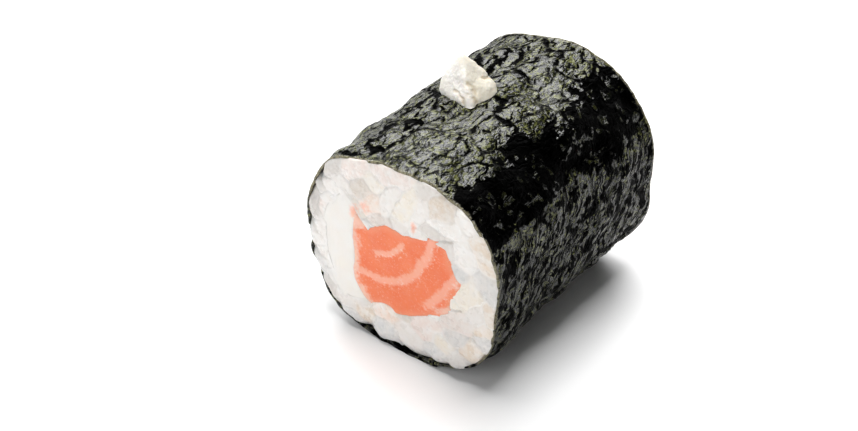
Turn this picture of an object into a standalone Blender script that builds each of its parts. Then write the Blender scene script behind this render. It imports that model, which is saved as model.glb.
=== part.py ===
"""Models one thick slice of a sushi roll: nori round rice, salmon and cream cheese, with a dab on top.

The roll lies on its side along Y. The cut face that shows its filling looks towards -Y, and +Z is up.
The origin is on the resting surface, under the middle of the roll. Angles in the cross-section run
from +X towards +Z about the roll's axis.
"""

import math
import random

import bmesh
import bpy
from mathutils import Matrix, Vector, noise

MM = 0.001

# The roll's outside
ROLL_LENGTH = 32.4 * MM
HALF_WIDTH = 14.4 * MM  # from the axis to the outside, across the flat sides
AXIS_HEIGHT = 14.4 * MM  # the bottom is pressed flat this far under the axis
SQUARENESS = 2.5  # exponent of the rounded square: 2 is a circle
CORNER_FULLNESS = 0.05  # two opposite corners stand out by this share
FULL_CORNER = math.radians(50)
BULGES = (  # uneven from the hand that pressed it: angle and reach in degrees, height in mm
    (128, 22, 0.2),
    (176, 14, 0.3),
    (212, 18, -0.3),
    (243, 24, -0.65),
    (310, 50, 0.62),
)
FRONT_LEAN = 0.047  # how far the shown cut leans forward for each unit of height
BACK_LEAN = 0.02

# The nori sheet, rolled once round with its lap underneath
NORI_THICKNESS = 0.35 * MM
LAP_START = math.radians(250)
LAP_ANGLE = math.radians(40)
LAP_CLIMB = math.radians(25)  # where the sheet's inner end comes out to its own outside again
LAP_GAP = 0.12 * MM
LAP_STEP = math.radians(10)  # where the rice gives way before the sheet's inner end
RELIEF = 0.3 * MM  # the rice pushes the sheet out and lets it sink by up to this
RELIEF_WAVELENGTH = 5.5 * MM
FRONT_FULLNESS = 0.3 * MM  # the upper left corner is fuller towards the shown cut
FULL_FRONT_ANGLE = math.radians(142)
FULL_FRONT_REACH = math.radians(30)
FULL_FRONT_LENGTH = 18 * MM
RIM_WAVE = 0.35 * MM
RIM_WAVELENGTH = 6 * MM
RIM_RECEDE = 0.25 * MM  # how far the sheet's front rim lies behind the cut

# Rows of vertices that the sheet and the rice share
ANGLE_STEP = math.radians(5)
ROWS = 12

# Fillings
FIT_GAP = 0.3 * MM  # between neighbouring pieces
SALMON_OUTLINE = (  # x and z from the axis, in mm, anticlockwise from the left end of the top
    (-6.9, 4.6), (-7.5, 1.2), (-7.4, -2.2), (-7.6, -5.2), (-6.6, -7.6), (-4.9, -9.0),
    (-2.5, -7.9), (-0.6, -8.6), (3.7, -6.4), (7.2, -4.5), (7.4, -2.4), (9.2, 1.0),
    (7.9, 3.2), (7.0, 6.3), (3.5, 6.1), (0.1, 5.0), (-2.3, 5.1), (-4.8, 3.4),
)
OUTLINE_SMOOTHING = 1  # points put between two named ones
CREAM_OUTLINE = (  # the crescent along the left side, from its upper tip
    (-8.5, 6.8), (-10.2, 5.2), (-11.3, 2.8), (-11.9, -0.6), (-11.8, -4.2), (-10.9, -7.2),
    (-9.5, -9.6), (-8.2, -10.5), (-7.4, -9.2), (-7.8, -7.3), (-8.1, -4.6), (-7.9, -1.0),
    (-7.9, 2.0), (-7.4, 5.2), (-7.6, 6.5),
)
FILLING_ROWS = 9
FILLING_DRIFT = 0.5 * MM  # how far a filling wanders sideways along the roll
FILLING_BULGE = 0.3 * MM  # the middle of a cut end stands out by this
FILLING_RECESS = 0.15 * MM  # how far the edge of a cut end lies behind the cut plane
FILLING_RIM = 0.5 * MM  # width of the slope round the middle
HOLE_OVERSHOOT = 2 * MM

# Rice
GRAIN_LENGTH = 5.3 * MM
GRAIN_WIDTH = 2.3 * MM
GRAIN_PROUD = (0.05 * MM, 0.35 * MM)  # how far a grain stands out of the cut plane
GRAIN_PITCH = 0.25  # the steepest slope of a grain to the cut plane
GRAINS_A_FACE = 70
GRAIN_SPACING = 2.1 * MM
GRAIN_TRIES = 6000
CORE_INSET = 0.5 * MM  # the core's flat end lies this far behind the cut plane
CORE_ROUNDING = 0.4 * MM
GRAIN_SEED = 11
GRAIN_SIDES = 6
CORNER_REACH = 1.1  # the corners of the section reach this much farther than its sides

# The dab on top: a broken-off chunk, drawn in mm as it looks from in front, from the right and above
DAB_MIDDLE = (-3.3, 1.1, 15.6)  # about the roll's axis
DAB_VIEW = ((0.791, 0.612, 0.0), (-0.379, 0.490, 0.785), (0.480, -0.621, 0.620))  # across, up, towards
DAB_OUTLINE = (  # across and up from its middle, anticlockwise from the peak
    (-0.6, 3.2), (-1.5, 2.4), (-2.6, 0.9), (-3.3, -0.2), (-3.5, -1.0), (-3.2, -1.4), (-2.2, -2.4),
    (-0.7, -3.0), (0.4, -3.7), (0.9, -3.5), (1.8, -3.2), (3.3, -2.5), (3.6, -1.3), (3.3, -0.2),
    (2.6, 0.5), (1.3, 1.9), (0.4, 2.6),
)
DAB_FACES = (  # flat broken faces: normal as across, up and towards, and distance from the middle
    ((-0.74, 0.00, 0.67), 1.95),
    ((0.46, 0.20, 0.86), 2.15),
    ((-0.10, -0.85, 0.52), 3.3),
    ((0.50, 0.85, -0.20), 3.0),
    ((-0.60, 0.35, -0.70), 3.0),
    ((0.10, -0.20, -0.97), 3.0),
)
DAB_LUMPS = (  # lumps at its foot: direction, height, tightness
    ((0.12, -0.80, 0.58), 0.55, 16.0),
    ((0.80, -0.38, 0.45), 0.45, 12.0),
    ((-0.30, -0.75, 0.60), 0.25, 14.0),
)
DAB_EDGE = 9  # how sharp the edges between the faces are
DAB_SEGMENTS = 24
DAB_RINGS = 16

COLOURS = {  # base colour and roughness
    "nori": ((0.035, 0.037, 0.025), 0.45),
    "rice": ((0.86, 0.83, 0.78), 0.40),
    "salmon": ((0.90, 0.27, 0.12), 0.30),
    "cream_cheese": ((0.92, 0.88, 0.82), 0.50),
    "cream_dab": ((0.92, 0.87, 0.78), 0.55),
}


def clear_scene():
    """Empties the scene."""
    for obj in list(bpy.data.objects):
        bpy.data.objects.remove(obj)


def make_collection(name):
    """A new collection in the scene."""
    collection = bpy.data.collections.new(name)
    bpy.context.scene.collection.children.link(collection)
    return collection


def make_material(name):
    """The plain finish of one piece."""
    colour, roughness = COLOURS[name]
    material = bpy.data.materials.new(name)
    material.use_nodes = True
    shader = material.node_tree.nodes["Principled BSDF"]
    shader.inputs["Base Color"].default_value = (*colour, 1)
    shader.inputs["Roughness"].default_value = roughness
    return material


def make_object(name, bm, collection):
    """Turns a bmesh, given about the roll's axis, into an object that stands on the resting surface."""
    bmesh.ops.translate(bm, verts=bm.verts, vec=(0, 0, AXIS_HEIGHT))
    bmesh.ops.recalc_face_normals(bm, faces=bm.faces)
    mesh = bpy.data.meshes.new(name)
    bm.to_mesh(mesh)
    bm.free()
    obj = bpy.data.objects.new(name, mesh)
    collection.objects.link(obj)
    return obj


def smooth_step(share):
    """Eases from 0 to 1."""
    share = max(0.0, min(1.0, share))
    return share * share * (3 - 2 * share)


def turn_between(angle, other):
    """The size of the turn from one angle to another."""
    return abs((angle - other + math.pi) % (2 * math.pi) - math.pi)


def section_radius(angle):
    """Distance from the axis to the outside of the nori."""
    square = abs(math.cos(angle)) ** SQUARENESS + abs(math.sin(angle)) ** SQUARENESS
    fullness = 1 + CORNER_FULLNESS * math.cos(2 * (angle - FULL_CORNER))
    radius = HALF_WIDTH * square ** (-1 / SQUARENESS) * fullness
    for middle, reach, height in BULGES:
        turn = math.degrees(turn_between(angle, math.radians(middle)))
        radius += height * MM * smooth_step(1 - turn / reach)
    if math.sin(angle) < 0:
        radius = min(radius, AXIS_HEIGHT / -math.sin(angle))
    return radius


def in_section(radius, angle, y):
    """The point at a distance and angle about the axis."""
    return Vector((radius * math.cos(angle), y, radius * math.sin(angle)))


def grain_relief(angle, y):
    """How far the rice pushes the sheet out here: nothing on the flat bottom."""
    spot = in_section(section_radius(angle), angle, y)
    height = spot.z + AXIS_HEIGHT
    to_corner = turn_between(angle, FULL_FRONT_ANGLE) / FULL_FRONT_REACH
    to_front = (y + ROLL_LENGTH / 2) / FULL_FRONT_LENGTH
    fullness = FRONT_FULLNESS * smooth_step(1 - to_corner) * smooth_step(1 - to_front)
    return (fullness + RELIEF * noise.noise(spot / RELIEF_WAVELENGTH)) * smooth_step(height / (3 * MM))


def front_plane(z):
    """Where the shown cut lies at a height from the axis."""
    return -ROLL_LENGTH / 2 - FRONT_LEAN * z


def back_plane(z):
    """Where the far cut lies at a height from the axis."""
    return ROLL_LENGTH / 2 + BACK_LEAN * z


def rim_recede(angle):
    """How far the nori's front rim lies behind the cut plane."""
    wave = noise.noise(Vector((math.cos(angle), 0, math.sin(angle))) * HALF_WIDTH / RIM_WAVELENGTH)
    return RIM_RECEDE + RIM_WAVE * wave


def row_y(share, angle):
    """Y of a row of the nori: share 0 is its front rim and 1 its back rim."""
    z = section_radius(angle) * math.sin(angle)
    front = front_plane(z) + rim_recede(angle)
    back = back_plane(z) - RIM_WAVE * noise.noise(Vector((2 * math.cos(angle), 5, 2 * math.sin(angle))))
    return front + share * (back - front)


def layer_inset(turn):
    """How far the sheet lies inside its own outer layer, by the angle rolled so far."""
    under = 1 - smooth_step((turn - LAP_ANGLE) / LAP_CLIMB)
    return under * (NORI_THICKNESS + LAP_GAP)


def room_for_lap(angle):
    """How far the rice gives way to the sheet's inner end."""
    turn = (angle - LAP_START) % (2 * math.pi)
    before = smooth_step((turn - 2 * math.pi + LAP_STEP) / LAP_STEP)
    return layer_inset(turn) + before * (NORI_THICKNESS + LAP_GAP)


def build_nori(collection):
    """A flat grid rolled round the axis and thickened inwards."""
    rolled = 2 * math.pi + LAP_ANGLE
    columns = round(rolled / ANGLE_STEP)
    bm = bmesh.new()
    bmesh.ops.create_grid(bm, x_segments=columns, y_segments=ROWS, size=0.5)
    for vert in bm.verts:
        turn = (vert.co.x + 0.5) * rolled
        angle = LAP_START + turn
        y = row_y(vert.co.y + 0.5, angle)
        radius = section_radius(angle) + grain_relief(angle, y) - layer_inset(turn)
        vert.co = in_section(radius, angle, y)
    nori = make_object("nori", bm, collection)
    thicken = nori.modifiers.new("thickness", "SOLIDIFY")
    thicken.thickness = NORI_THICKNESS
    first = nori.data.polygons[0]
    outward = first.normal.dot(first.center - Vector((0, first.center.y, AXIS_HEIGHT))) > 0
    thicken.offset = -1 if outward else 1
    return nori


def closed_tube(columns, rows, place):
    """A grid wrapped into a tube by a function of the shares round and along it, and its two ends."""
    bm = bmesh.new()
    bmesh.ops.create_grid(bm, x_segments=columns, y_segments=rows, size=0.5)
    for vert in bm.verts:
        vert.co = place(vert.co.x + 0.5, vert.co.y + 0.5)
    bmesh.ops.remove_doubles(bm, verts=bm.verts, dist=0.001 * MM)
    rims = [edge for edge in bm.edges if edge.is_boundary]
    ends = bmesh.ops.holes_fill(bm, edges=rims, sides=0)["faces"]
    bmesh.ops.recalc_face_normals(bm, faces=bm.faces)
    return bm, ends


def smooth_outline(points, between):
    """The closed curve through the named points, in metres, as a finer outline."""
    outline = []
    count = len(points)
    for i in range(count):
        p0, p1, p2, p3 = (Vector(points[(i + k) % count]) * MM for k in (-1, 0, 1, 2))
        for step in range(between + 1):
            t = step / (between + 1)
            outline.append(0.5 * (
                2 * p1
                + (p2 - p0) * t
                + (2 * p0 - 5 * p1 + 4 * p2 - p3) * t ** 2
                + (3 * p1 - p0 - 3 * p2 + p3) * t ** 3
            ))
    return outline


def grown_outline(outline, distance):
    """An anticlockwise outline moved outwards by a distance."""
    grown = []
    count = len(outline)
    for i, point in enumerate(outline):
        before = (point - outline[i - 1]).normalized()
        after = (outline[(i + 1) % count] - point).normalized()
        side = (before + after).normalized()
        normal = Vector((side.y, -side.x))
        sharpness = max(0.5, side.dot(after))
        grown.append(point + normal * distance / sharpness)
    return grown


def filling_drift(share):
    """How far the fillings have wandered sideways at a share of the length: nothing at the shown cut."""
    x = noise.noise(Vector((2 * share, 3, 0)))
    z = noise.noise(Vector((2 * share, 3, 9)))
    return Vector((x, z)) * FILLING_DRIFT * min(1, 4 * share)


def filling_tube(outline, beyond):
    """An outline swept from one cut to the other, ending beyond them by a distance."""

    def place(around, along):
        point = outline[round(around * len(outline)) % len(outline)] + filling_drift(along)
        front = front_plane(point.y) - beyond
        back = back_plane(point.y) + beyond
        return Vector((point.x, front + along * (back - front), point.y))

    return closed_tube(len(outline), FILLING_ROWS, place)


def build_filling(name, outline, collection):
    """A filling that runs through the roll, with its cut ends slightly domed."""
    bm, ends = filling_tube(outline, -FILLING_RECESS)
    bmesh.ops.inset_individual(bm, faces=ends, thickness=FILLING_RIM, depth=FILLING_BULGE)
    return make_object(name, bm, collection)


def build_hole(name, outline, cutters):
    """What is cut from the rice so that a filling fits with the gap all round."""
    bm, _ = filling_tube(grown_outline(outline, FIT_GAP), HOLE_OVERSHOOT)
    hole = make_object(name, bm, cutters)
    hole.hide_render = True
    hole.display_type = "WIRE"
    return hole


def build_rice_core(collection):
    """The rice without its grains: a plug just inside the nori, with rounded ends."""

    def place(around, along):
        angle = LAP_START + around * 2 * math.pi
        y = row_y(along, angle)
        radius = section_radius(angle) + grain_relief(angle, y)
        radius -= NORI_THICKNESS + FIT_GAP + room_for_lap(angle)
        z = radius * math.sin(angle)
        half_a_row = 0.5 / ROWS
        if along < half_a_row:
            y = front_plane(z) + CORE_INSET + CORE_ROUNDING / 2
        elif along > 1 - half_a_row:
            y = back_plane(z) - CORE_INSET - CORE_ROUNDING / 2
        return in_section(radius, angle, y)

    bm, ends = closed_tube(round(2 * math.pi / ANGLE_STEP), ROWS, place)
    bmesh.ops.inset_individual(bm, faces=ends, thickness=CORE_ROUNDING, depth=CORE_ROUNDING / 2)
    return make_object("rice", bm, collection)


def clearance(point, outline):
    """Distance in the cross-section from a point outside an outline to it; nothing inside."""
    nearest = math.inf
    inside = False
    for i, end in enumerate(outline):
        start = outline[i - 1]
        along = end - start
        share = max(0, min(1, (point - start).dot(along) / along.length_squared))
        nearest = min(nearest, (start + along * share - point).length)
        if (start.y > point.y) != (end.y > point.y):
            crossing = start.x + (point.y - start.y) / (end.y - start.y) * (end.x - start.x)
            inside ^= point.x < crossing
    return 0 if inside else nearest


def grain_fits(spot, direction, length, width, fillings):
    """Whether a grain at a place in the cross-section is clear of the fillings and the nori."""
    for share in (-1, -0.6, 0, 0.6, 1):
        point = spot + direction * share * length / 2
        half = width / 2 * math.sqrt(1 - share * share)
        angle = math.atan2(point.y, point.x)
        inside = section_radius(angle) - RELIEF / 2 - NORI_THICKNESS - room_for_lap(angle) - point.length
        if inside < half + FIT_GAP:
            return False
        if any(clearance(point, outline) < half + FIT_GAP for outline in fillings):
            return False
    return True


def place_grains(fillings, rng):
    """The grains that show on one cut face: place, direction, length and width, by a seeded rule."""
    grains = []
    for _ in range(GRAIN_TRIES):
        angle = rng.uniform(0, 2 * math.pi)
        radius = HALF_WIDTH * CORNER_REACH * math.sqrt(rng.random())
        spot = Vector((math.cos(angle), math.sin(angle))) * radius
        heading = rng.uniform(0, math.pi)
        direction = Vector((math.cos(heading), math.sin(heading)))
        length = GRAIN_LENGTH * rng.uniform(0.55, 1.05)
        width = GRAIN_WIDTH * rng.uniform(0.6, 1.0)
        crowded = any((spot - other[0]).length < GRAIN_SPACING for other in grains)
        if not crowded and grain_fits(spot, direction, length, width, fillings):
            grains.append((spot, direction, length, width))
        if len(grains) == GRAINS_A_FACE:
            break
    return grains


def build_grains(fillings, collection):
    """Grains half sunk in both ends of the rice, as objects that share one low-poly shape."""
    bm = bmesh.new()
    bmesh.ops.create_uvsphere(bm, u_segments=GRAIN_SIDES, v_segments=4, radius=0.5)
    shape = bpy.data.meshes.new("grain")
    bm.to_mesh(shape)
    bm.free()
    rng = random.Random(GRAIN_SEED)
    for plane, inwards, share in ((front_plane, 1, 0), (back_plane, -1, 1)):
        drift = filling_drift(share)
        outlines = [[point + drift for point in outline] for outline in fillings]
        for spot, direction, length, width in place_grains(outlines, rng):
            proud = rng.uniform(*GRAIN_PROUD)
            y = plane(spot.y) + inwards * (width / 2 - proud)
            pitch = rng.uniform(-GRAIN_PITCH, GRAIN_PITCH)
            heading = Vector((direction.x, pitch, direction.y))
            turn = heading.to_track_quat("Z", "Y").to_matrix().to_4x4()
            size = Matrix.Diagonal((width, width, length, 1))
            grain = bpy.data.objects.new("grain", shape)
            grain.matrix_world = Matrix.Translation((spot.x, y, spot.y + AXIS_HEIGHT)) @ turn @ size
            collection.objects.link(grain)


def apply_boolean(obj, operation, collection):
    """Joins a collection to an object, or cuts it away, and keeps the result as plain mesh."""
    cut = obj.modifiers.new(operation.lower(), "BOOLEAN")
    cut.operand_type = "COLLECTION"
    cut.collection = collection
    cut.operation = operation
    evaluated = obj.evaluated_get(bpy.context.evaluated_depsgraph_get())
    mesh = bpy.data.meshes.new_from_object(evaluated)
    obj.modifiers.clear()
    obj.data = mesh


def build_rice(fillings, collection, cutters):
    """The rice: a core with holes for the fillings, and grains fused to both cut ends."""
    rice = build_rice_core(collection)
    apply_boolean(rice, "DIFFERENCE", cutters)
    grains = make_collection("rice_grains")
    build_grains(fillings, grains)
    apply_boolean(rice, "UNION", grains)
    for grain in list(grains.objects):
        bpy.data.objects.remove(grain)
    bpy.data.collections.remove(grains)
    return rice


def outline_reach(turn):
    """Distance from the dab's middle to its drawn outline, in mm, at a turn in the plane of drawing."""
    corners = sorted((math.atan2(up, across), math.hypot(across, up)) for across, up in DAB_OUTLINE)
    first, last = corners[0], corners[-1]
    corners = [(last[0] - 2 * math.pi, last[1]), *corners, (first[0] + 2 * math.pi, first[1])]
    for (start, near), (end, far) in zip(corners, corners[1:]):
        if start <= turn <= end:
            return near + (turn - start) / (end - start) * (far - near)


def dab_reach(direction):
    """Distance from the dab's middle to its surface, in mm, for a direction across, up and towards."""
    flat = math.hypot(direction.x, direction.y)
    closeness = (flat / outline_reach(math.atan2(direction.y, direction.x))) ** DAB_EDGE
    for normal, distance in DAB_FACES:
        closeness += max(0, direction.dot(Vector(normal)) / distance) ** DAB_EDGE
    reach = closeness ** (-1 / DAB_EDGE)
    for aim, height, tightness in DAB_LUMPS:
        reach += height * math.exp(tightness * (direction.dot(Vector(aim).normalized()) - 1))
    return reach


def build_dab(collection):
    """The dab of cream cheese: a chunk with flat broken faces whose underside follows the nori."""
    view = Matrix(DAB_VIEW)
    bm = bmesh.new()
    bmesh.ops.create_uvsphere(bm, u_segments=DAB_SEGMENTS, v_segments=DAB_RINGS, radius=1)
    for vert in bm.verts:
        direction = vert.co.normalized()
        spot = (Vector(DAB_MIDDLE) + direction * dab_reach(view @ direction)) * MM
        angle = math.atan2(spot.z, spot.x)
        under = section_radius(angle) + grain_relief(angle, spot.y) + FIT_GAP
        if math.hypot(spot.x, spot.z) < under:
            spot = in_section(under, angle, spot.y)
        vert.co = spot
    return make_object("cream_dab", bm, collection)


def main():
    clear_scene()
    parts = make_collection("philadelphia_roll")
    cutters = make_collection("cutters")
    fillings = {
        "salmon": smooth_outline(SALMON_OUTLINE, OUTLINE_SMOOTHING),
        "cream_cheese": smooth_outline(CREAM_OUTLINE, OUTLINE_SMOOTHING),
    }
    pieces = [build_nori(parts)]
    for name, outline in fillings.items():
        build_hole(name + "_hole", outline, cutters)
        pieces.append(build_filling(name, outline, parts))
    pieces.append(build_rice(fillings.values(), parts, cutters))
    pieces.append(build_dab(parts))
    for piece in pieces:
        piece.data.materials.clear()
        piece.data.materials.append(make_material(piece.name))


main()
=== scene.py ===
# %% [markdown]
# # A thick slice of a sushi roll
#
# The object is one piece of a hand-rolled sushi roll, about 29 mm across and 32 mm long, lying on its
# side. A sheet of nori is wrapped once round pressed rice, a strip of salmon and a strip of cream
# cheese run through the middle, and a dab of cream cheese sits on top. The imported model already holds
# the true sizes, so this script starts from it and only makes the surfaces that a camera sees.

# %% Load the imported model
import math
import random

import bpy
import numpy as np
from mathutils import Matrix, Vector, noise


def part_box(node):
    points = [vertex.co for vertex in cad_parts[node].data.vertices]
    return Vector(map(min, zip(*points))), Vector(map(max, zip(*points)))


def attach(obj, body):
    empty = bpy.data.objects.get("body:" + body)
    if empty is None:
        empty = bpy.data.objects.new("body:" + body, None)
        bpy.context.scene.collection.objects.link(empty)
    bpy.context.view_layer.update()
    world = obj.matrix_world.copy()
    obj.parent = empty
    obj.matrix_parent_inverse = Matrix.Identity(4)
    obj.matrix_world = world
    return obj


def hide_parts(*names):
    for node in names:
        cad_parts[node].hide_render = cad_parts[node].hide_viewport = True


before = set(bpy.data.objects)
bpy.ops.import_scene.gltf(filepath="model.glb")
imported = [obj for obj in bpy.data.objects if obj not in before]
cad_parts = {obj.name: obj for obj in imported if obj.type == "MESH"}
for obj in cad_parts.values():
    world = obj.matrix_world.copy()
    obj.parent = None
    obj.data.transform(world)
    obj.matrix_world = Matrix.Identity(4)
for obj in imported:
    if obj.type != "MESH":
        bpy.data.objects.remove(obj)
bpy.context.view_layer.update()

print("CAD nodes:", sorted(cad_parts))

# %% [markdown]
# ## Measures
#
# Everything is placed about the roll's axis, which runs along Y. A cross-section of the real roll is a
# rounded square: the bamboo mat presses the sides flat, two opposite corners stay a little fuller, and
# the hand that turned it left a few low bulges and dents. One formula gives that outline, so every piece
# below can ask it how far away the nori is.

# %% The roll's cross-section and its two cuts
MM = 0.001
AXIS_HEIGHT = 14.4 * MM  # the bottom is pressed flat this far under the axis
HALF_WIDTH = 14.4 * MM
SQUARENESS = 2.5  # exponent of the rounded square: 2 is a circle
CORNER_FULLNESS = 0.05  # two opposite corners stand out by this share
FULL_CORNER = math.radians(50)
BULGES = (  # middle and reach in degrees, height in mm
    (128, 22, 0.2), (176, 14, 0.3), (212, 18, -0.3), (243, 24, -0.65), (310, 50, 0.62),
)
ROLL_LENGTH = 32.4 * MM
FRONT_LEAN = 0.047  # how far the shown cut leans forward for each unit of height
BACK_LEAN = 0.02
FOOT = 0.28 * MM  # how far the foot of the shown cut comes forward
FOOT_TOP, FOOT_HEIGHT = 9 * MM, 5 * MM  # where that starts below the axis, and over what height it grows


def eased(share):
    """Goes smoothly from 0 to 1."""
    share = np.clip(share, 0, 1)
    return share * share * (3 - 2 * share)


def nearness(angle, middle, reach):
    """1 at a middle in degrees and 0 from its reach on, for an array of angles in radians."""
    return eased(1 - np.abs((np.degrees(angle) - middle + 180) % 360 - 180) / reach)


def span(angle, start, rise, end, fall):
    """1 between two angles in degrees, reached over rise and left over fall, and 0 outside them."""
    degrees = np.degrees(angle) % 360
    return eased((degrees - start) / rise) * eased((end - degrees) / fall)


def section_radius(angle):
    """Distance from the axis to the outside of the nori, for an array of angles from +X towards +Z."""
    square = np.abs(np.cos(angle)) ** SQUARENESS + np.abs(np.sin(angle)) ** SQUARENESS
    fullness = 1 + CORNER_FULLNESS * np.cos(2 * (angle - FULL_CORNER))
    radius = HALF_WIDTH * square ** (-1 / SQUARENESS) * fullness
    for middle, reach, height in BULGES:
        radius = radius + height * MM * nearness(angle, middle, reach)
    downward = np.maximum(-np.sin(angle), 1e-6)
    return np.minimum(radius, AXIS_HEIGHT / downward)


def front_plane(z):
    """Y of the shown cut at a height above the axis."""
    return -ROLL_LENGTH / 2 - FRONT_LEAN * z - FOOT * eased((-z - FOOT_TOP) / FOOT_HEIGHT)


def back_plane(z):
    """Y of the far cut at a height above the axis."""
    return ROLL_LENGTH / 2 + BACK_LEAN * z


nori_low, nori_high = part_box("nori")
print("nori, mm:", [round(1000 * size, 1) for size in nori_high - nori_low])

# %% [markdown]
# ## Camera
#
# The camera looks down at the roll with its cut face turned to the left. Its place and lens were found
# by matching the rim of the cut face and the roll's outline, so they are plain numbers here.

# %% Camera
CAMERA_FROM_AXIS = (127.1 * MM, -174.75 * MM, 168.0 * MM)
CAMERA_AZIMUTH = 37.73
CAMERA_ELEVATION = 38.32
CAMERA_LENS = 93.43

camera_place = (CAMERA_FROM_AXIS[0], CAMERA_FROM_AXIS[1], CAMERA_FROM_AXIS[2] + AXIS_HEIGHT)
camera_turn = (math.radians(90 - CAMERA_ELEVATION), 0, math.radians(CAMERA_AZIMUTH))
bpy.ops.object.camera_add(location=camera_place, rotation=camera_turn)
camera = bpy.context.object
camera.name = "camera"
camera.data.lens = CAMERA_LENS
camera.data.sensor_width = 36
camera.data.clip_start = 0.01
bpy.context.scene.camera = camera
print("camera distance in mm:", round(1000 * Vector(CAMERA_FROM_AXIS).length))

# %% [markdown]
# ## Floor and light
#
# The roll lies on a white surface under a soft light from above, which keeps the shadow short. A wide
# one, behind and to the left, is what the top of the nori mirrors: nori is nearly black, so what it shows
# is mostly reflection, and the corner beside its top stays dark because nothing bright stands there and
# because most of the nori's folds there are painted black as shade.
# Below that corner the nori mirrors the floor, which is made dimmer in mirrors than it looks, as only a
# small part of a real table is lit. Weaker lights in front, on the left and on the right brighten the cut
# face and the shadow.

# %% Floor, lights and world
FLOOR_SIZE = 4.0
FLOOR_GREY, FLOOR_IN_MIRRORS = 0.93, 0.65
LIGHT_DISTANCE = 0.5
LIGHTS = (
    # name, direction from the roll, width and height in metres, watts
    ("light_above", (0.01, 0, 1), 0.25, 0.25, 2.15),
    ("light_behind", (-0.47, 0.56, 0.69), 0.50, 0.34, 3.0),
    ("light_front", (0, -0.766, 0.643), 0.35, 0.35, 0.60),
    ("light_low_front", (0, -0.951, 0.309), 0.35, 0.35, 0.40),
    ("light_left", (-0.937, -0.165, 0.309), 0.35, 0.35, 0.13),
    ("light_right", (0.75, -0.45, 0.48), 0.35, 0.35, 0.16),
)


def add_light(name, direction, width, height, energy):
    """A rectangular soft light that shines at the roll from a direction."""
    place = Vector(direction).normalized() * LIGHT_DISTANCE + Vector((0, 0, AXIS_HEIGHT))
    turn = Vector(direction).to_track_quat("Z", "Y").to_euler()
    bpy.ops.object.light_add(type="AREA", location=place, rotation=turn)
    light = bpy.context.object
    light.name = name
    light.data.shape = "RECTANGLE"
    light.data.size = width
    light.data.size_y = height
    light.data.energy = energy
    light.visible_camera = False


def grey_by_ray(tree, ray, usual, special):
    """A grey that is a special one for one kind of ray and the usual one for all others."""
    ray_kind = tree.nodes.new("ShaderNodeLightPath")
    choice = tree.nodes.new("ShaderNodeMix")
    choice.data_type = "RGBA"
    choice.inputs["A"].default_value = (usual, usual, usual, 1)
    choice.inputs["B"].default_value = (special, special, special, 1)
    tree.links.new(ray_kind.outputs[ray], choice.inputs["Factor"])
    return choice.outputs["Result"]


for light_values in LIGHTS:
    add_light(*light_values)

bpy.ops.mesh.primitive_plane_add(size=FLOOR_SIZE)
floor = bpy.context.object
floor.name = "floor"
floor_paint = bpy.data.materials.new("floor_white")
floor_paint.use_nodes = True
floor_shader = floor_paint.node_tree.nodes["Principled BSDF"]
floor_grey = grey_by_ray(floor_paint.node_tree, "Is Glossy Ray", FLOOR_GREY, FLOOR_IN_MIRRORS)
floor_paint.node_tree.links.new(floor_grey, floor_shader.inputs["Base Color"])
floor_shader.inputs["Roughness"].default_value = 0.9
floor_shader.inputs["Specular IOR Level"].default_value = 0.0
floor.data.materials.append(floor_paint)

world = bpy.data.worlds.new("studio")
bpy.context.scene.world = world
world.use_nodes = True
world_grey = grey_by_ray(world.node_tree, "Is Camera Ray", 0, 1)
world.node_tree.links.new(world_grey, world.node_tree.nodes["Background"].inputs["Color"])
bpy.context.scene.view_settings.view_transform = "Standard"

# %% [markdown]
# ## Helpers
#
# An operator works on whatever is selected, and loading the model leaves its parts selected, so each
# piece starts from an empty selection. The surface work is done on whole arrays of points at once.

# %% Selection, modifiers and point arrays


def deselect_all():
    """Leaves nothing selected, in object mode."""
    bpy.ops.object.select_all(action="DESELECT")


def make_active(obj):
    """Selects one object and nothing else."""
    deselect_all()
    obj.select_set(True)
    bpy.context.view_layer.objects.active = obj


def apply_modifiers(obj):
    """Turns an object's modifiers into plain mesh, in order."""
    make_active(obj)
    for modifier in list(obj.modifiers):
        bpy.ops.object.modifier_apply(modifier=modifier.name)


def read_points(obj):
    """The vertices of an object as rows of an array, about the roll's axis."""
    flat = np.empty(3 * len(obj.data.vertices), np.float32)
    obj.data.vertices.foreach_get("co", flat)
    points = flat.reshape(-1, 3).astype(float)
    points[:, 2] -= AXIS_HEIGHT
    return points


def write_points(obj, points):
    """Puts the array's rows back as the object's vertices."""
    raised = points + np.array((0, 0, AXIS_HEIGHT))
    obj.data.vertices.foreach_set("co", raised.astype(np.float32).ravel())
    obj.data.update()


def paint_points(obj, name, values):
    """Keeps one number for each vertex, for the material to read."""
    layer = obj.data.attributes.new(name, "FLOAT", "POINT")
    layer.data.foreach_set("value", values.astype(np.float32))


def shade_smooth(obj):
    """Smooth shading all over."""
    make_active(obj)
    bpy.ops.object.shade_smooth()


def finish_piece(obj, node, material):
    """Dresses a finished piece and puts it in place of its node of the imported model."""
    obj.data.materials.clear()
    obj.data.materials.append(material)
    shade_smooth(obj)
    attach(obj, "root")
    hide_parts(node)
    print(obj.name, "has", len(obj.data.polygons), "faces")


# %% [markdown]
# ## Noise on a grid of random values
#
# Crumpled seaweed, pressed rice and broken cheese are all uneven in a different way, but each unevenness
# starts from the same thing: random numbers on a grid, joined smoothly. Working on arrays keeps it fast.

# %% Smooth noise for arrays of points


def lattice_random(cells, seed):
    """A repeatable random number from 0 to 1 for each row of whole numbers, stirred by large odd ones."""
    mixed = np.full(len(cells), seed * 374761393 % 2147483647, np.int64)
    for axis, factor in zip(range(cells.shape[1]), (668265263, 2246822519, 3266489917)):
        mixed = (mixed ^ (cells[:, axis].astype(np.int64) * factor)) * 1274126177 & 0xFFFFFFFF
        mixed ^= mixed >> 15
    return (mixed & 0xFFFFFF) / 0xFFFFFF


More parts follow.
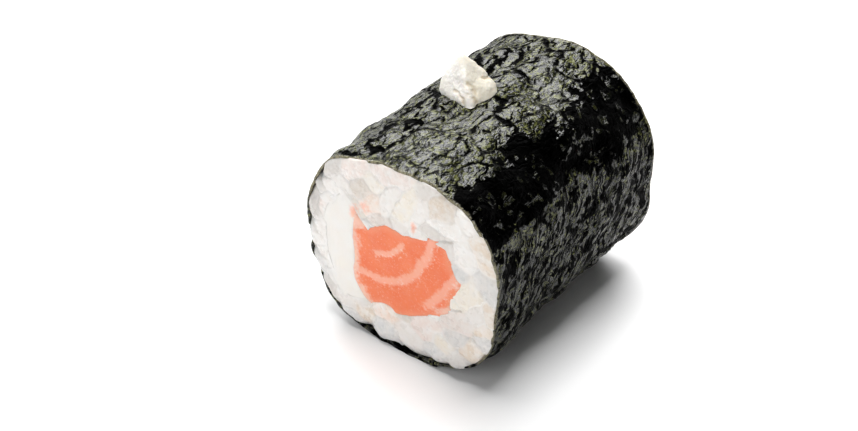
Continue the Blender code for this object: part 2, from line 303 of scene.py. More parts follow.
def smooth_noise(points, size, seed):
    """Smooth noise from -1 to 1 with features of a given size, for points with 2 or 3 coordinates."""
    places = points / size
    corner = np.floor(places)
    share = eased(places - corner)
    total = np.zeros(len(points))
    for bits in range(2 ** points.shape[1]):
        offset = np.array([bits >> axis & 1 for axis in range(points.shape[1])])
        weight = np.prod(np.where(offset == 1, share, 1 - share), axis=1)
        total += weight * (2 * lattice_random(corner + offset, seed) - 1)
    return total


def noise_pair(points, size, seed):
    """Smooth noise for two directions, as rows."""
    return np.stack([smooth_noise(points, size, seed + extra) for extra in (0, 1)], axis=1)


def layered_noise(points, layers):
    """A sum of smooth noises, from rows of height, size and seed."""
    return sum(height * smooth_noise(points, size, seed) for height, size, seed in layers)


checked = smooth_noise(np.arange(3000).reshape(-1, 3) * 0.37, 1, 1)
print("noise runs from", round(checked.min(), 2), "to", round(checked.max(), 2))

# %% [markdown]
# ## The sheet round the roll
#
# Real nori is cut as a flat sheet and rolled, so it is made that way: a fine grid at the sheet's real
# size is wrapped along the section, without stretching, and goes on over its own start as a lap. To
# wrap it evenly, the script first measures the way round the section.

# %% The way round the section
TABLE_STEPS = 2880
LAP_START = math.radians(250)
LAP_ANGLE = math.radians(40)  # how far the sheet goes on over its own start
LAP_CLIMB = math.radians(25)  # over which its start then comes out to its own outside
LAP_STEP = math.radians(10)  # over which the rice gives way before its start
LAP_INSET = 0.38 * MM

table_angle = np.linspace(0, 2 * math.pi, TABLE_STEPS + 1)
table_radius = section_radius(table_angle)
table_x = table_radius * np.cos(table_angle)
table_z = table_radius * np.sin(table_angle)
table_length = np.concatenate(([0], np.cumsum(np.hypot(np.diff(table_x), np.diff(table_z)))))
GIRTH = table_length[-1]


def length_at(angle):
    """The way round from +X to an angle; more than a full turn goes on counting."""
    turns = np.floor(angle / (2 * math.pi))
    return np.interp(angle - turns * 2 * math.pi, table_angle, table_length) + turns * GIRTH


def angle_at(length):
    """The angle reached after a way round from +X."""
    turns = np.floor(length / GIRTH)
    return np.interp(length - turns * GIRTH, table_length, table_angle) + turns * 2 * math.pi


def layer_inset(turn):
    """How far the sheet's start lies inside its own end, by the angle rolled so far."""
    return LAP_INSET * (1 - eased((turn - LAP_ANGLE) / LAP_CLIMB))


def room_for_lap(angle):
    """How far the rice gives way to the sheet's start."""
    turn = (angle - LAP_START) % (2 * math.pi)
    return layer_inset(turn) + LAP_INSET * eased((turn - 2 * math.pi + LAP_STEP) / LAP_STEP)


def section_normal(angle):
    """The direction straight out of the section, as arrays of x and z."""
    step = math.radians(3)
    ahead, behind = section_radius(angle + step), section_radius(angle - step)
    tangent_x = ahead * np.cos(angle + step) - behind * np.cos(angle - step)
    tangent_z = ahead * np.sin(angle + step) - behind * np.sin(angle - step)
    size = np.hypot(tangent_x, tangent_z)
    return tangent_z / size, -tangent_x / size


sheet_start = length_at(LAP_START)
sheet_size = length_at(LAP_START + 2 * math.pi + LAP_ANGLE) - sheet_start
lap_size = sheet_size - GIRTH
print("the sheet is", round(1000 * sheet_size, 1), "mm long, with a lap of", round(1000 * lap_size, 1))

# %% [markdown]
# The sheet isn't smooth. Grains of rice push it out from inside, and where it was damp it has dried in
# low waves with sharp folds between them. The cuts aren't quite alike: each has a few bulges of its own,
# which die out along the roll. Over the top the folds run with the roll, and down the right side they
# run round it. Each of these is one sum of noise over the flat sheet. A share of the sheet's folds is
# painted black as shade, larger where the nori shows little light: left of the top, round the right
# corner, underneath and down the right. The material needs to know that share.

# %% How far the sheet stands out or dips
SWELL = 0.30 * MM
SWELL_SIZE = 5.5 * MM
CUT_BULGES = (
    # middle and reach in degrees; -1 at the shown cut and 1 at the far one; reach along and height in mm
    (142, 30, -1, 18, 0.30), (232, 30, -1, 9, 0.36),
    (80, 22, 1, 13, 0.55), (43, 15, 1, 12, -0.40), (-22, 34, 1, 14, 0.70),
)
WAVES = ((4.8, 5.4, 0.36), (2.3, 3.0, 0.25), (1.1, 1.7, 0.10))  # size round, size along, height, in mm
FOLDS = ((1.2, 4.5, 0.22), (0.8, 2.8, 0.14))  # width, length, height, in mm
FOLDS_WANDER, FOLDS_SLANT = 0.7, 0.45  # mm sideways; along the roll for each mm round it
PITS = 18
PIT_WIDTH, PIT_LENGTH, PIT_DEPTH = (0.25, 0.45), (0.7, 1.4), (0.15, 0.35)  # least and most, in mm
FOLD_SHARPNESS = 5
OVER_THE_TOP = (22, 18, 215, 40)  # in degrees: start, rise, end and fall, as in the other spans below


def off_the_floor(z):
    """0 on the flat bottom and 1 above it, so that the crumpling never reaches into the floor."""
    return eased((z + AXIS_HEIGHT) / (3 * MM))


def swell(angle, y):
    """How far the rice pushes the sheet out, in metres."""
    radius = section_radius(angle)
    spots = np.stack((radius * np.cos(angle), y, radius * np.sin(angle)), axis=1)
    pushed = SWELL * np.array([noise.noise(spot) for spot in spots / SWELL_SIZE])
    for middle, reach, end, along, height in CUT_BULGES:
        from_end = (ROLL_LENGTH / 2 - end * y) / (along * MM)
        pushed += height * MM * nearness(angle, middle, reach) * eased(1 - from_end)
    return pushed * off_the_floor(spots[:, 2])


def ridges(places, across, along, seed):
    """Sharp long ridges from 0 to 1, for places as rows of across and along."""
    stretched = places / (across, along)
    return (1 - np.abs(smooth_noise(stretched, 1, seed))) ** FOLD_SHARPNESS


def with_the_roll(angle):
    """1 where the folds run along the roll, over its top, and 0 where they run round it."""
    return span(angle, *OVER_THE_TOP)


def painted_shade_share(places, angle):
    """The share of the sheet painted black as shade in its folds, more where the nori shows little light.
    """
    angle = angle + math.radians(9) * smooth_noise(places, 3.5, 60)
    degrees = (np.degrees(angle) + 90) % 360 - 90
    share = 0.045 + 0.12 * eased(0.5 + smooth_noise(places, 4.5, 61))
    left_of_the_top = 0.18 * nearness(angle, 114, 20)
    round_the_corner = 0.75 * eased(1.7 * nearness(angle, 47, 24))
    underneath = 0.60 * nearness(angle, 262, 55)
    down_the_right = 0.42 * eased((36 - degrees) / 10) * eased((degrees + 85) / 20)
    share += left_of_the_top + round_the_corner
    return np.max((share, underneath, down_the_right), axis=0)


def crumple(places, angle):
    """Waves, folds and pits of the dried sheet, in mm, for places on the flat sheet in mm."""
    warped = places + FOLDS_WANDER * noise_pair(places, 2.6, 11)
    slanted = np.stack((warped[:, 1] + FOLDS_SLANT * warped[:, 0], warped[:, 0]), axis=1)
    on_top = with_the_roll(angle)
    height = np.zeros(len(places))
    for number, (round_size, along_size, tall) in enumerate(WAVES):
        height += tall * smooth_noise(warped / (round_size, along_size), 1, 20 + number)
    patchy = eased(0.5 + smooth_noise(places, 3.5, 55))
    for number, (wide, long, tall) in enumerate(FOLDS):
        fold = on_top * ridges(warped, wide, long, 30 + number)
        fold += (1 - on_top) * ridges(slanted, wide, long, 40 + number)
        height += tall * patchy * (fold - 0.2)
    rng = random.Random(4)
    for _ in range(PITS):
        middle = (rng.uniform(places[:, 0].min(), places[:, 0].max()), rng.uniform(-15, 15))
        wide, long = rng.uniform(*PIT_WIDTH), rng.uniform(*PIT_LENGTH)
        gap = ((places[:, 0] - middle[0]) / wide) ** 2 + ((places[:, 1] - middle[1]) / long) ** 2
        height -= rng.uniform(*PIT_DEPTH) * np.exp(-gap)
    return height


print("folds are up to", FOLDS[0][2], "mm high, and", PITS, "pits are up to", PIT_DEPTH[1], "mm deep")

# %% Make the flat sheet and roll it
SHEET_CELLS_ROUND = 372
SHEET_CELLS_ALONG = 116
NORI_THICKNESS = 0.27 * MM
RIM_BEHIND = 0.20 * MM
RIM_RAGGED = 0.12 * MM
TORN_ANGLE, TORN_REACH, TORN_DEPTH = 191, 7, 1.1 * MM
ROUND_THE_LEFT = (155, 20, 332, 25)
COVERED = (216, 34)  # middle and reach in degrees of where the grains hang over the sheet's edge
LAP_CALM, RIM_CALM = 2 * MM, 1.5 * MM  # the crumpling grows over this way from the lap and from a cut
CALMEST = 0.25  # the share of the crumpling that is left there


def along_the_left(angle):
    """1 round the left and the bottom of the cut, where grains stand out over the sheet's edge."""
    return span(angle, *ROUND_THE_LEFT)


def rim_recede(angle):
    """How far the sheet's front edge lies behind the cut, with a torn place on the left."""
    torn = TORN_DEPTH * nearness(angle, TORN_ANGLE, TORN_REACH)
    return RIM_BEHIND * (1 + 0.7 * along_the_left(angle) + 1.2 * nearness(angle, *COVERED)) + torn


def ragged(angle, seed):
    """The unevenness of a cut edge, in metres."""
    way = np.stack((length_at(angle) / MM, np.zeros(len(angle))), axis=1)
    uneven = layered_noise(way, ((1, 2.4, seed), (0.5, 0.7, seed + 1)))
    return RIM_RAGGED * (1 + nearness(angle, *COVERED)) * uneven


deselect_all()
bpy.ops.mesh.primitive_grid_add(
    x_subdivisions=SHEET_CELLS_ROUND, y_subdivisions=SHEET_CELLS_ALONG, size=1)
nori_sheet = bpy.context.object
nori_sheet.name = "nori_sheet"
flat = read_points(nori_sheet)
rolled = (flat[:, 0] + 0.5) * sheet_size
share = flat[:, 1] + 0.5
angle = angle_at(sheet_start + rolled)
around = angle % (2 * math.pi)
radius = section_radius(angle)
x, z = radius * np.cos(angle), radius * np.sin(angle)
front = front_plane(z) + rim_recede(angle) + ragged(around, 61)
back = back_plane(z) - RIM_BEHIND - np.abs(ragged(around, 63))
y = front + share * (back - front)

from_cut = np.minimum(y - front, back - y)
past_lap = eased((rolled - lap_size) / LAP_CALM)
near_rim = eased(from_cut / RIM_CALM)
inset = layer_inset(angle - LAP_START)
places = np.stack((rolled, y), axis=1) / MM
calm = (CALMEST + (1 - CALMEST) * past_lap) * (CALMEST + (1 - CALMEST) * near_rim)
crumpled = crumple(places, around) * MM * calm
out = swell(around, y) - inset + crumpled * off_the_floor(z)
out_x, out_z = section_normal(angle)
write_points(nori_sheet, np.stack((x + out_x * out, y, z + out_z * out), axis=1))
print("crumpling from", round(1000 * crumpled.min(), 2), "to", round(1000 * crumpled.max(), 2), "mm")

# %% [markdown]
# The rolled grid has no thickness yet and faces inwards. Its faces are flipped and Solidify thickens the
# sheet towards the rice. Each point keeps four things for the material: its place on the flat sheet,
# which way the folds run there, how near the cut is, and how far the painted shade of the folds reaches
# in from the edges of the plates between them.

# %% Thicken the sheet
STARCH_WIDTH = 0.25 * MM
MOST_FOLD_SHADE = 0.97

sheet_place = nori_sheet.data.attributes.new("sheet_place", "FLOAT_VECTOR", "POINT")
flat_place = np.column_stack((places, np.zeros(len(places))))
sheet_place.data.foreach_set("vector", flat_place.astype(np.float32).ravel())
paint_points(nori_sheet, "on_top", with_the_roll(around))
beside_cut = np.exp(-(from_cut / STARCH_WIDTH) ** 2)
paint_points(nori_sheet, "cut_edge", beside_cut * (1 - along_the_left(around)))
# Painted shade: how much of the sheet here is painted black in its folds.
fold_shade_share = np.minimum(painted_shade_share(places, around), MOST_FOLD_SHADE)
paint_points(nori_sheet, "fold_shade", 0.5 - 0.5 * np.sqrt(1 - fold_shade_share))
make_active(nori_sheet)
bpy.ops.object.mode_set(mode="EDIT")
bpy.ops.mesh.select_all(action="SELECT")
bpy.ops.mesh.flip_normals()
bpy.ops.object.mode_set(mode="OBJECT")
thickness = nori_sheet.modifiers.new("thickness", "SOLIDIFY")
thickness.thickness = NORI_THICKNESS
thickness.offset = -1
apply_modifiers(nori_sheet)
print("the sheet has", len(nori_sheet.data.polygons), "faces")

# %% [markdown]
# ## Materials: shared unevenness
#
# Each food is uneven in its own way, but two effects come back: a fine uneven relief, and soft blotches
# that mix two looks. Each is a node group, built once. A group only gives out heights and masks, and the
# shader itself stays in the material.

# %% Node groups


def new_group(name, inputs, outputs):
    """An empty shader node group with number or vector sockets and its two end nodes."""
    group = bpy.data.node_groups.new(name, "ShaderNodeTree")
    for socket_name, kind, value in inputs:
        socket = group.interface.new_socket(socket_name, in_out="INPUT", socket_type=kind)
        if value is not None:
            socket.default_value = value
    for socket_name in outputs:
        group.interface.new_socket(socket_name, in_out="OUTPUT", socket_type="NodeSocketFloat")
    return group, group.nodes.new("NodeGroupInput"), group.nodes.new("NodeGroupOutput")


def math_node(tree, operation, first, second=0.5):
    """A Math node; each input is a socket or a number. Gives its output socket."""
    node = tree.nodes.new("ShaderNodeMath")
    node.operation = operation
    for socket, value in zip(node.inputs, (first, second)):
        if isinstance(value, (int, float)):
            socket.default_value = value
        else:
            tree.links.new(value, socket)
    return node.outputs[0]


def map_range(tree, value, low, high, to_low=0.0, to_high=1.0):
    """A smooth Map Range from low..high, held at its ends."""
    node = tree.nodes.new("ShaderNodeMapRange")
    node.interpolation_type = "SMOOTHSTEP"
    for name, number in (("From Min", low), ("From Max", high), ("To Min", to_low), ("To Max", to_high)):
        node.inputs[name].default_value = number
    tree.links.new(value, node.inputs["Value"])
    return node.outputs["Result"]


def noise_texture(tree, vector, size, detail=2.0, distortion=0.0):
    """A Noise Texture whose features are about size mm; its vector is in mm."""
    node = tree.nodes.new("ShaderNodeTexNoise")
    node.inputs["Scale"].default_value = 1 / size
    node.inputs["Detail"].default_value = detail
    node.inputs["Distortion"].default_value = distortion
    tree.links.new(vector, node.inputs["Vector"])
    return node.outputs["Fac"]


def vector_math(tree, operation, *values):
    """A Vector Math node; each input is a socket or three numbers."""
    node = tree.nodes.new("ShaderNodeVectorMath")
    node.operation = operation
    for socket, value in zip(node.inputs, values):
        if isinstance(value, tuple):
            socket.default_value = value
        else:
            tree.links.new(value, socket)
    return node


def mix_colour(tree, mask, first, second):
    """Mixes two colours, each a socket or three numbers, by a mask."""
    node = tree.nodes.new("ShaderNodeMix")
    node.data_type = "RGBA"
    tree.links.new(mask, node.inputs["Factor"])
    for name, value in (("A", first), ("B", second)):
        if isinstance(value, tuple):
            node.inputs[name].default_value = (*value, 1)
        else:
            tree.links.new(value, node.inputs[name])
    return node.outputs["Result"]


def noise_in_group(group, group_in, detail):
    """A Noise Texture in a group, with features of the group's own Size."""
    node = group.nodes.new("ShaderNodeTexNoise")
    node.inputs["Detail"].default_value = detail
    group.links.new(group_in.outputs["Place"], node.inputs["Vector"])
    group.links.new(math_node(group, "DIVIDE", 1.0, group_in.outputs["Size"]), node.inputs["Scale"])
    return node


# Fine relief: a noise with three finer ones on it, each about half as strong as the one before.
PLACE_AND_SIZE = (("Place", "NodeSocketVector", None), ("Size", "NodeSocketFloat", 1.0))
fine_relief, group_in, group_out = new_group("fine_relief", PLACE_AND_SIZE, ("Height",))
relief_noise = noise_in_group(fine_relief, group_in, 3.0)
relief_noise.inputs["Roughness"].default_value = 0.55
fine_relief.links.new(relief_noise.outputs["Fac"], group_out.inputs["Height"])

# Blotches: noise with soft borders, of which the input says how much of the surface they cover.
cover_and_softness = (("Cover", "NodeSocketFloat", 0.5), ("Softness", "NodeSocketFloat", 0.1))
blotches, group_in, group_out = new_group("blotches", PLACE_AND_SIZE + cover_and_softness, ("Mask",))
blotch_noise = noise_in_group(blotches, group_in, 4.0)
level = math_node(blotches, "SUBTRACT", 1.0, group_in.outputs["Cover"])
above = math_node(blotches, "SUBTRACT", blotch_noise.outputs["Fac"], level)
spread = math_node(blotches, "DIVIDE", above, group_in.outputs["Softness"])
blotch_mask = math_node(blotches, "ADD", spread, 0.5)
clamped = blotches.nodes.new("ShaderNodeClamp")
blotches.links.new(blotch_mask, clamped.inputs["Value"])
blotches.links.new(clamped.outputs["Result"], group_out.inputs["Mask"])


def use_group(tree, group, place, **values):
    """Puts a node group into a material with its own values and gives its output socket."""
    node = tree.nodes.new("ShaderNodeGroup")
    node.node_tree = group
    tree.links.new(place, node.inputs["Place"])
    for name, value in values.items():
        node.inputs[name.capitalize()].default_value = value
    return node.outputs[0] if len(node.outputs) == 1 else tuple(node.outputs)


def add_bump(tree, shader, height, depth, below=None):
    """Bumps a shader by a height from 0 to 1 that stands for a depth in metres, on top of other bumps."""
    node = tree.nodes.new("ShaderNodeBump")
    node.inputs["Strength"].default_value = 1.0
    node.inputs["Distance"].default_value = depth
    tree.links.new(height, node.inputs["Height"])
    if below is not None:
        tree.links.new(below, node.inputs["Normal"])
    tree.links.new(node.outputs["Normal"], shader.inputs["Normal"])
    return node.outputs["Normal"]


def tinted(tree, colour, tint, mask, strength):
    """The colour, brought towards a tint by a mask and a strength."""
    return mix_colour(tree, math_node(tree, "MULTIPLY", mask, strength), colour, tint)


def moist_food(tree, shader, place, colour, light, gloss, relief):
    """Gives a shader its colour and what all moist foods have: some light goes in (how much, how far red,
    green and blue go, what 1 is in mm), the roughness goes softly from wet to dry (size of the places in
    mm, wet, dry), and there is a fine relief (size and depth in mm)."""
    tree.links.new(colour, shader.inputs["Base Color"])
    for name, value in zip(("Weight", "Radius", "Scale"), (light[0], light[1], light[2] * MM)):
        shader.inputs["Subsurface " + name].default_value = value
    dryness = use_group(tree, blotches, place, size=gloss[0], cover=0.5, softness=0.3)
    tree.links.new(map_range(tree, dryness, 0, 1, gloss[1], gloss[2]), shader.inputs["Roughness"])
    return add_bump(tree, shader, use_group(tree, fine_relief, place, size=relief[0]), relief[1] * MM)


def new_material(name):
    """A material with its node tree and its Principled shader."""
    material = bpy.data.materials.new(name)
    material.use_nodes = True
    return material, material.node_tree, material.node_tree.nodes["Principled BSDF"]


def place_in_mm(tree):
    """Object coordinates in mm about the roll's axis."""
    coordinates = tree.nodes.new("ShaderNodeTexCoord")
    mapping = tree.nodes.new("ShaderNodeMapping")
    mapping.vector_type = "POINT"
    mapping.inputs["Location"].default_value = (0, 0, -AXIS_HEIGHT / MM)
    mapping.inputs["Scale"].default_value = (1 / MM, 1 / MM, 1 / MM)
    tree.links.new(coordinates.outputs["Object"], mapping.inputs["Vector"])
    return mapping.outputs["Vector"]


def attribute(tree, name, output="Fac"):
    """An attribute that the mesh keeps for its material."""
    node = tree.nodes.new("ShaderNodeAttribute")
    node.attribute_name = name
    return node.outputs[output]


print("node groups:", [group.name for group in bpy.data.node_groups])

# %% [markdown]
# Nori is dried seaweed: nearly black, with a green that only shows in its thin flecks, and glossy where
# it took up moisture. Its look comes mostly from what it mirrors, so the material spends its detail on
# relief and gloss. Like any crumpled sheet it is made of small flat plates that each tilt their own way,
# with creases between them. A node group gives these: a Voronoi pattern with a random tilt for each cell,
# and how far a point is from its cell's edge.

# %% Plates as a node group
plates, group_in, group_out = new_group("plates", PLACE_AND_SIZE[:1], ("Height", "Edge"))
plate_cells = plates.nodes.new("ShaderNodeTexVoronoi")
plate_edges = plates.nodes.new("ShaderNodeTexVoronoi")
plate_edges.feature = "DISTANCE_TO_EDGE"
for node in (plate_cells, plate_edges):
    node.voronoi_dimensions = "2D"
    node.inputs["Scale"].default_value = 1
    plates.links.new(group_in.outputs["Place"], node.inputs["Vector"])
random_tilt = vector_math(plates, "SUBTRACT", plate_cells.outputs["Color"], (0.5, 0.5, 0.5))
from_middle = vector_math(plates, "SUBTRACT", group_in.outputs["Place"], plate_cells.outputs["Position"])
tilted = vector_math(plates, "DOT_PRODUCT", random_tilt.outputs["Vector"], from_middle.outputs["Vector"])
plates.links.new(tilted.outputs["Value"], group_out.inputs["Height"])
plates.links.new(plate_edges.outputs["Distance"], group_out.inputs["Edge"])


def stretched(tree, vector, across, along, slant=0.0):
    """Coordinates in which something that is across mm wide and along mm long has the size 1."""
    turned = tree.nodes.new("ShaderNodeMapping")
    turned.inputs["Rotation"].default_value = (0, 0, slant)
    tree.links.new(vector, turned.inputs["Vector"])
    scaled = tree.nodes.new("ShaderNodeMapping")
    scaled.inputs["Scale"].default_value = (1 / across, 1 / along, 1)
    tree.links.new(turned.outputs["Vector"], scaled.inputs["Vector"])
    return scaled.outputs["Vector"]


def bent(tree, vector, place, size, amount, detail):
    """Coordinates that wander off by noise of a size in mm, so that straight edges look natural."""
    wander = tree.nodes.new("ShaderNodeTexNoise")
    wander.inputs["Scale"].default_value = 1 / size
    wander.inputs["Detail"].default_value = detail
    tree.links.new(place, wander.inputs["Vector"])
    moved = vector_math(tree, "MULTIPLY_ADD", wander.outputs["Color"], (amount, amount, 0), vector)
    return moved.outputs["Vector"]


def by_mask(tree, mask, lower, upper):
    """A number that is lower where the mask is 0 and upper where it is 1."""
    node = tree.nodes.new("ShaderNodeMix")
    for name, value in (("Factor", mask), ("A", lower), ("B", upper)):
        tree.links.new(value, node.inputs[name])
    return node.outputs["Result"]


print("plates group has", len(plates.nodes), "nodes")

# %% [markdown]
# Two sizes of plates lie over each other: larger ones whose tilt catches the light, and smaller ones.
# What is deep in a fold is painted as shade, black over the share that the mesh keeps for it. The shader
# does that with black metal: a metal shows only what it mirrors in its own colour, and black leaves
# nothing of it. On the tops of the plates the olive of the seaweed shows in small flecks, and along the
# cut starch from the rice makes the edge look tan.

# %% Nori material
NORI_BLACK = (0.003, 0.0035, 0.0025)
NORI_OLIVE = (0.080, 0.086, 0.020)
NORI_FLECK = (0.26, 0.27, 0.085)
NORI_CUT = (0.30, 0.27, 0.16)
SLANT = -0.45
PLATES = (
    # across and along on the top, then on the side, in mm; relief on the top, then on the side, in mm
    ((3.4, 6.2), (0.85, 6.5), 1.25, 0.70), ((1.5, 3.4), (0.45, 3.4), 0.40, 0.42),
)
BEVEL = 0.15  # how far the plates bend down at a crease, in mm
WRINKLES, GRAININESS = 0.22, 0.09  # relief of the thin lines and of the fine grain on the plates, in mm
NORI_WET, NORI_DRY = 0.14, 0.26  # roughness
OLIVE_DULLS, FOLDS_DULL = 0.15, 0.6  # what the olive patches and the deep folds add to it

nori_paint, tree, shader = new_material("nori_crumpled")
on_sheet = attribute(tree, "sheet_place", "Vector")
on_top = attribute(tree, "on_top")
fold_shade = attribute(tree, "fold_shade")
wandering = bent(tree, bent(tree, on_sheet, on_sheet, 2.2, 2.0, 1.5), on_sheet, 0.67, 0.85, 3.0)

lines = noise_texture(tree, stretched(tree, on_sheet, 0.6, 1.1), 1.0, 2.0, 0.6)
wrinkle = math_node(tree, "ABSOLUTE", math_node(tree, "SUBTRACT", lines, 0.5))
relief = math_node(tree, "MULTIPLY", wrinkle, -WRINKLES)
painted_fold_shade = None
for number, (on_the_top, on_the_side, top_relief, side_relief) in enumerate(PLATES):
    top_height, top_edge = use_group(tree, plates, stretched(tree, wandering, *on_the_top))
    on_side_places = stretched(tree, wandering, *reversed(on_the_side), SLANT)
    side_height, side_edge = use_group(tree, plates, on_side_places)
    edge = by_mask(tree, on_top, side_edge, top_edge)
    varied = map_range(tree, noise_texture(tree, on_sheet, 1.9 - 0.8 * number), 0.38, 0.62, 0.0, 1.7)
    height = by_mask(tree, on_top, side_height, top_height)
    height = math_node(tree, "MULTIPLY", height, map_range(tree, on_top, 0, 1, side_relief, top_relief))
    bevel = math_node(tree, "MULTIPLY", map_range(tree, edge, 0.0, 0.12, -BEVEL, 0.0), varied)
    relief = math_node(tree, "ADD", relief, math_node(tree, "ADD", height, bevel))
    # Painted shade: a fold is black where the sheet's share of shade reaches in from a plate's edge.
    inside_fold = math_node(tree, "SUBTRACT", edge, math_node(tree, "MULTIPLY", fold_shade, varied))
    fold_shade_of_plates = map_range(tree, inside_fold, -0.02, 0.035, 1.0, 0.0)
    painted_fold_shade = fold_shade_of_plates if painted_fold_shade is None else math_node(tree, "MAXIMUM", painted_fold_shade, fold_shade_of_plates)

starch = use_group(tree, blotches, on_sheet, size=0.5, cover=0.58, softness=0.25)
starch = math_node(tree, "MULTIPLY", attribute(tree, "cut_edge"), starch)
painted_fold_shade = math_node(tree, "MULTIPLY", painted_fold_shade, map_range(tree, starch, 0.1, 0.5, 1.0, 0.0))

olive_places = stretched(tree, wandering, 0.42, 0.8)
patches = use_group(tree, blotches, olive_places, size=0.85, cover=0.46, softness=0.10)
crowded = use_group(tree, blotches, on_sheet, size=3.0, cover=0.62, softness=0.25)
unfolded = map_range(tree, fold_shade, 0.02, 0.30, 1.0, 0.15)
patches = math_node(tree, "MULTIPLY", patches, math_node(tree, "MULTIPLY", crowded, unfolded))
speckle = use_group(tree, blotches, on_sheet, size=0.35, cover=0.5, softness=0.2)
fleck = math_node(tree, "MULTIPLY", patches, map_range(tree, wrinkle, 0.0, 0.06, 1.0, 0.2))
base = mix_colour(tree, patches, NORI_BLACK, NORI_OLIVE)
base = tinted(tree, base, NORI_FLECK, fleck, speckle)
base = tinted(tree, base, NORI_CUT, starch, 0.8)
# Painted shade: the folds get a black colour and black metal, so they mirror nothing.
base = mix_colour(tree, painted_fold_shade, base, (0, 0, 0))
tree.links.new(base, shader.inputs["Base Color"])
tree.links.new(painted_fold_shade, shader.inputs["Metallic"])
dull = use_group(tree, blotches, on_sheet, size=1.1, cover=0.5, softness=0.25)
roughness = map_range(tree, dull, 0, 1, NORI_WET, NORI_DRY)
roughness = math_node(tree, "ADD", roughness, math_node(tree, "MULTIPLY", patches, OLIVE_DULLS))
roughness = math_node(tree, "ADD", roughness, math_node(tree, "MULTIPLY", painted_fold_shade, FOLDS_DULL))
tree.links.new(roughness, shader.inputs["Roughness"])
shader.inputs["Specular IOR Level"].default_value = 0.65
grainy = math_node(tree, "MULTIPLY", use_group(tree, fine_relief, on_sheet, size=0.6), GRAININESS)
add_bump(tree, shader, math_node(tree, "ADD", relief, grainy), MM)
finish_piece(nori_sheet, "nori", nori_paint)

# %% [markdown]
# ## The fillings
#
# The salmon and the cream cheese are strips that run through the whole roll, so their section hardly
# changes. Each starts as a filled circle whose points are moved to the strip's outline, drawn from a few
# named points, and is then extruded from cut to cut. A voxel remesh gives it an even skin with soft
# edges, fine enough to be shaped like a sculpt.

# %% Outlines of the strips
SALMON_OUTLINE = (  # x and z from the axis, in mm, anticlockwise from the tip at the upper left
    (-6.9, 4.6), (-7.5, 1.2), (-7.4, -2.2), (-7.6, -5.2), (-6.6, -7.6), (-4.9, -9.0),
    (-2.5, -7.9), (-0.6, -8.6), (3.7, -6.4), (7.2, -4.5), (7.4, -2.4), (9.2, 1.0),
    (7.9, 3.2), (7.0, 6.3), (3.5, 6.1), (0.1, 5.0), (-2.3, 5.1), (-4.8, 3.4),
)
CREAM_OUTLINE = (  # from the crescent's upper tip
    (-8.5, 6.8), (-10.2, 5.2), (-11.3, 2.8), (-11.9, -0.6), (-11.8, -4.2), (-10.9, -7.2),
    (-9.5, -9.6), (-8.0, -10.3), (-5.6, -9.0), (-6.6, -7.3), (-7.2, -5.0), (-7.0, -2.0),
    (-7.1, 1.4), (-6.4, 4.8), (-7.0, 6.5),
)
OUTLINE_POINTS = 16  # from one named point to the next
FAR_AWAY = 99.0  # more than any distance that is compared
STRIP_VOXEL = 0.21 * MM
STRIP_RECESS = 0.05 * MM
STRIP_DRIFT, DRIFT_STEPS = 0.5 * MM, 20  # how far a strip wanders sideways, and the steps of its table
STRIP_ENDS = 60  # a sixtieth of the length at each end takes the relief of the cut


def smooth_outline(points):
    """A closed curve through named points, in mm, as rows of x and z."""
    named = np.array(points)
    share = (np.arange(OUTLINE_POINTS) / OUTLINE_POINTS)[None, :, None]
    before, here, after, beyond = (np.roll(named, -step, axis=0)[:, None, :] for step in (-1, 0, 1, 2))
    curve = 0.5 * (
        2 * here + (after - before) * share
        + (2 * before - 5 * here + 4 * after - beyond) * share ** 2
        + (3 * here - before - 3 * after + beyond) * share ** 3)
    return curve.reshape(-1, 2)


def distance_to_line(line, places):
    """How far each place is from an open line through points, in mm."""
    nearest = np.full(len(places), FAR_AWAY)
    for start, end in zip(line[:-1], line[1:]):
        edge = end - start
        along = np.clip(((places - start) @ edge) / (edge @ edge), 0, 1)
        gap = places - start - along[:, None] * edge
        nearest = np.minimum(nearest, np.hypot(gap[:, 0], gap[:, 1]))
    return nearest


def distance_to(outline, places):
    """How far each place is from a closed outline, in mm."""
    return distance_to_line(np.append(outline, outline[:1], axis=0), places)


salmon_outline = smooth_outline(SALMON_OUTLINE)
cream_outline = smooth_outline(CREAM_OUTLINE)
print("outline points: salmon", len(salmon_outline), "and cream cheese", len(cream_outline))

# %% Extrude a strip and give it an even skin


def make_strip(name, outline):
    """A strip as long as the roll, with straight ends, from its outline in mm about the axis."""
    deselect_all()
    bpy.ops.mesh.primitive_circle_add(
        vertices=len(outline), radius=10 * MM, fill_type="NGON", rotation=(math.pi / 2, 0, 0))
    strip = bpy.context.object
    strip.name = name
    bpy.ops.object.transform_apply(location=True, rotation=True, scale=True)
    ring = read_points(strip)
    ring[:, 2] += AXIS_HEIGHT
    order = np.argsort(np.arctan2(ring[:, 2], ring[:, 0]))
    after = np.roll(outline, -1, axis=0)
    turning = np.sum(outline[:, 0] * after[:, 1] - outline[:, 1] * after[:, 0])
    followed = outline if turning > 0 else outline[::-1]
    shaped = np.zeros((len(ring), 3))
    shaped[order, 0] = followed[:, 0] * MM
    shaped[order, 1] = -ROLL_LENGTH / 2
    shaped[order, 2] = followed[:, 1] * MM
    write_points(strip, shaped)
    make_active(strip)
    bpy.ops.object.mode_set(mode="EDIT")
    bpy.ops.mesh.select_all(action="SELECT")
    bpy.ops.mesh.extrude_region_move(TRANSFORM_OT_translate={"value": (0, ROLL_LENGTH, 0)})
    bpy.ops.mesh.select_all(action="SELECT")
    bpy.ops.mesh.normals_make_consistent(inside=False)
    bpy.ops.object.mode_set(mode="OBJECT")
    strip.data.remesh_voxel_size = STRIP_VOXEL
    bpy.ops.object.voxel_remesh()
    soften = strip.modifiers.new("soften", "SMOOTH")
    soften.factor = 0.5
    soften.iterations = 3
    apply_modifiers(strip)
    return strip


def strip_drift(share):
    """How far the strips wander sideways on their way through the roll, in metres."""
    from_noise = [noise.noise(Vector((2 * share, 3, height))) for height in (0, 9)]
    return STRIP_DRIFT * min(1, 4 * share) * np.array(from_noise)


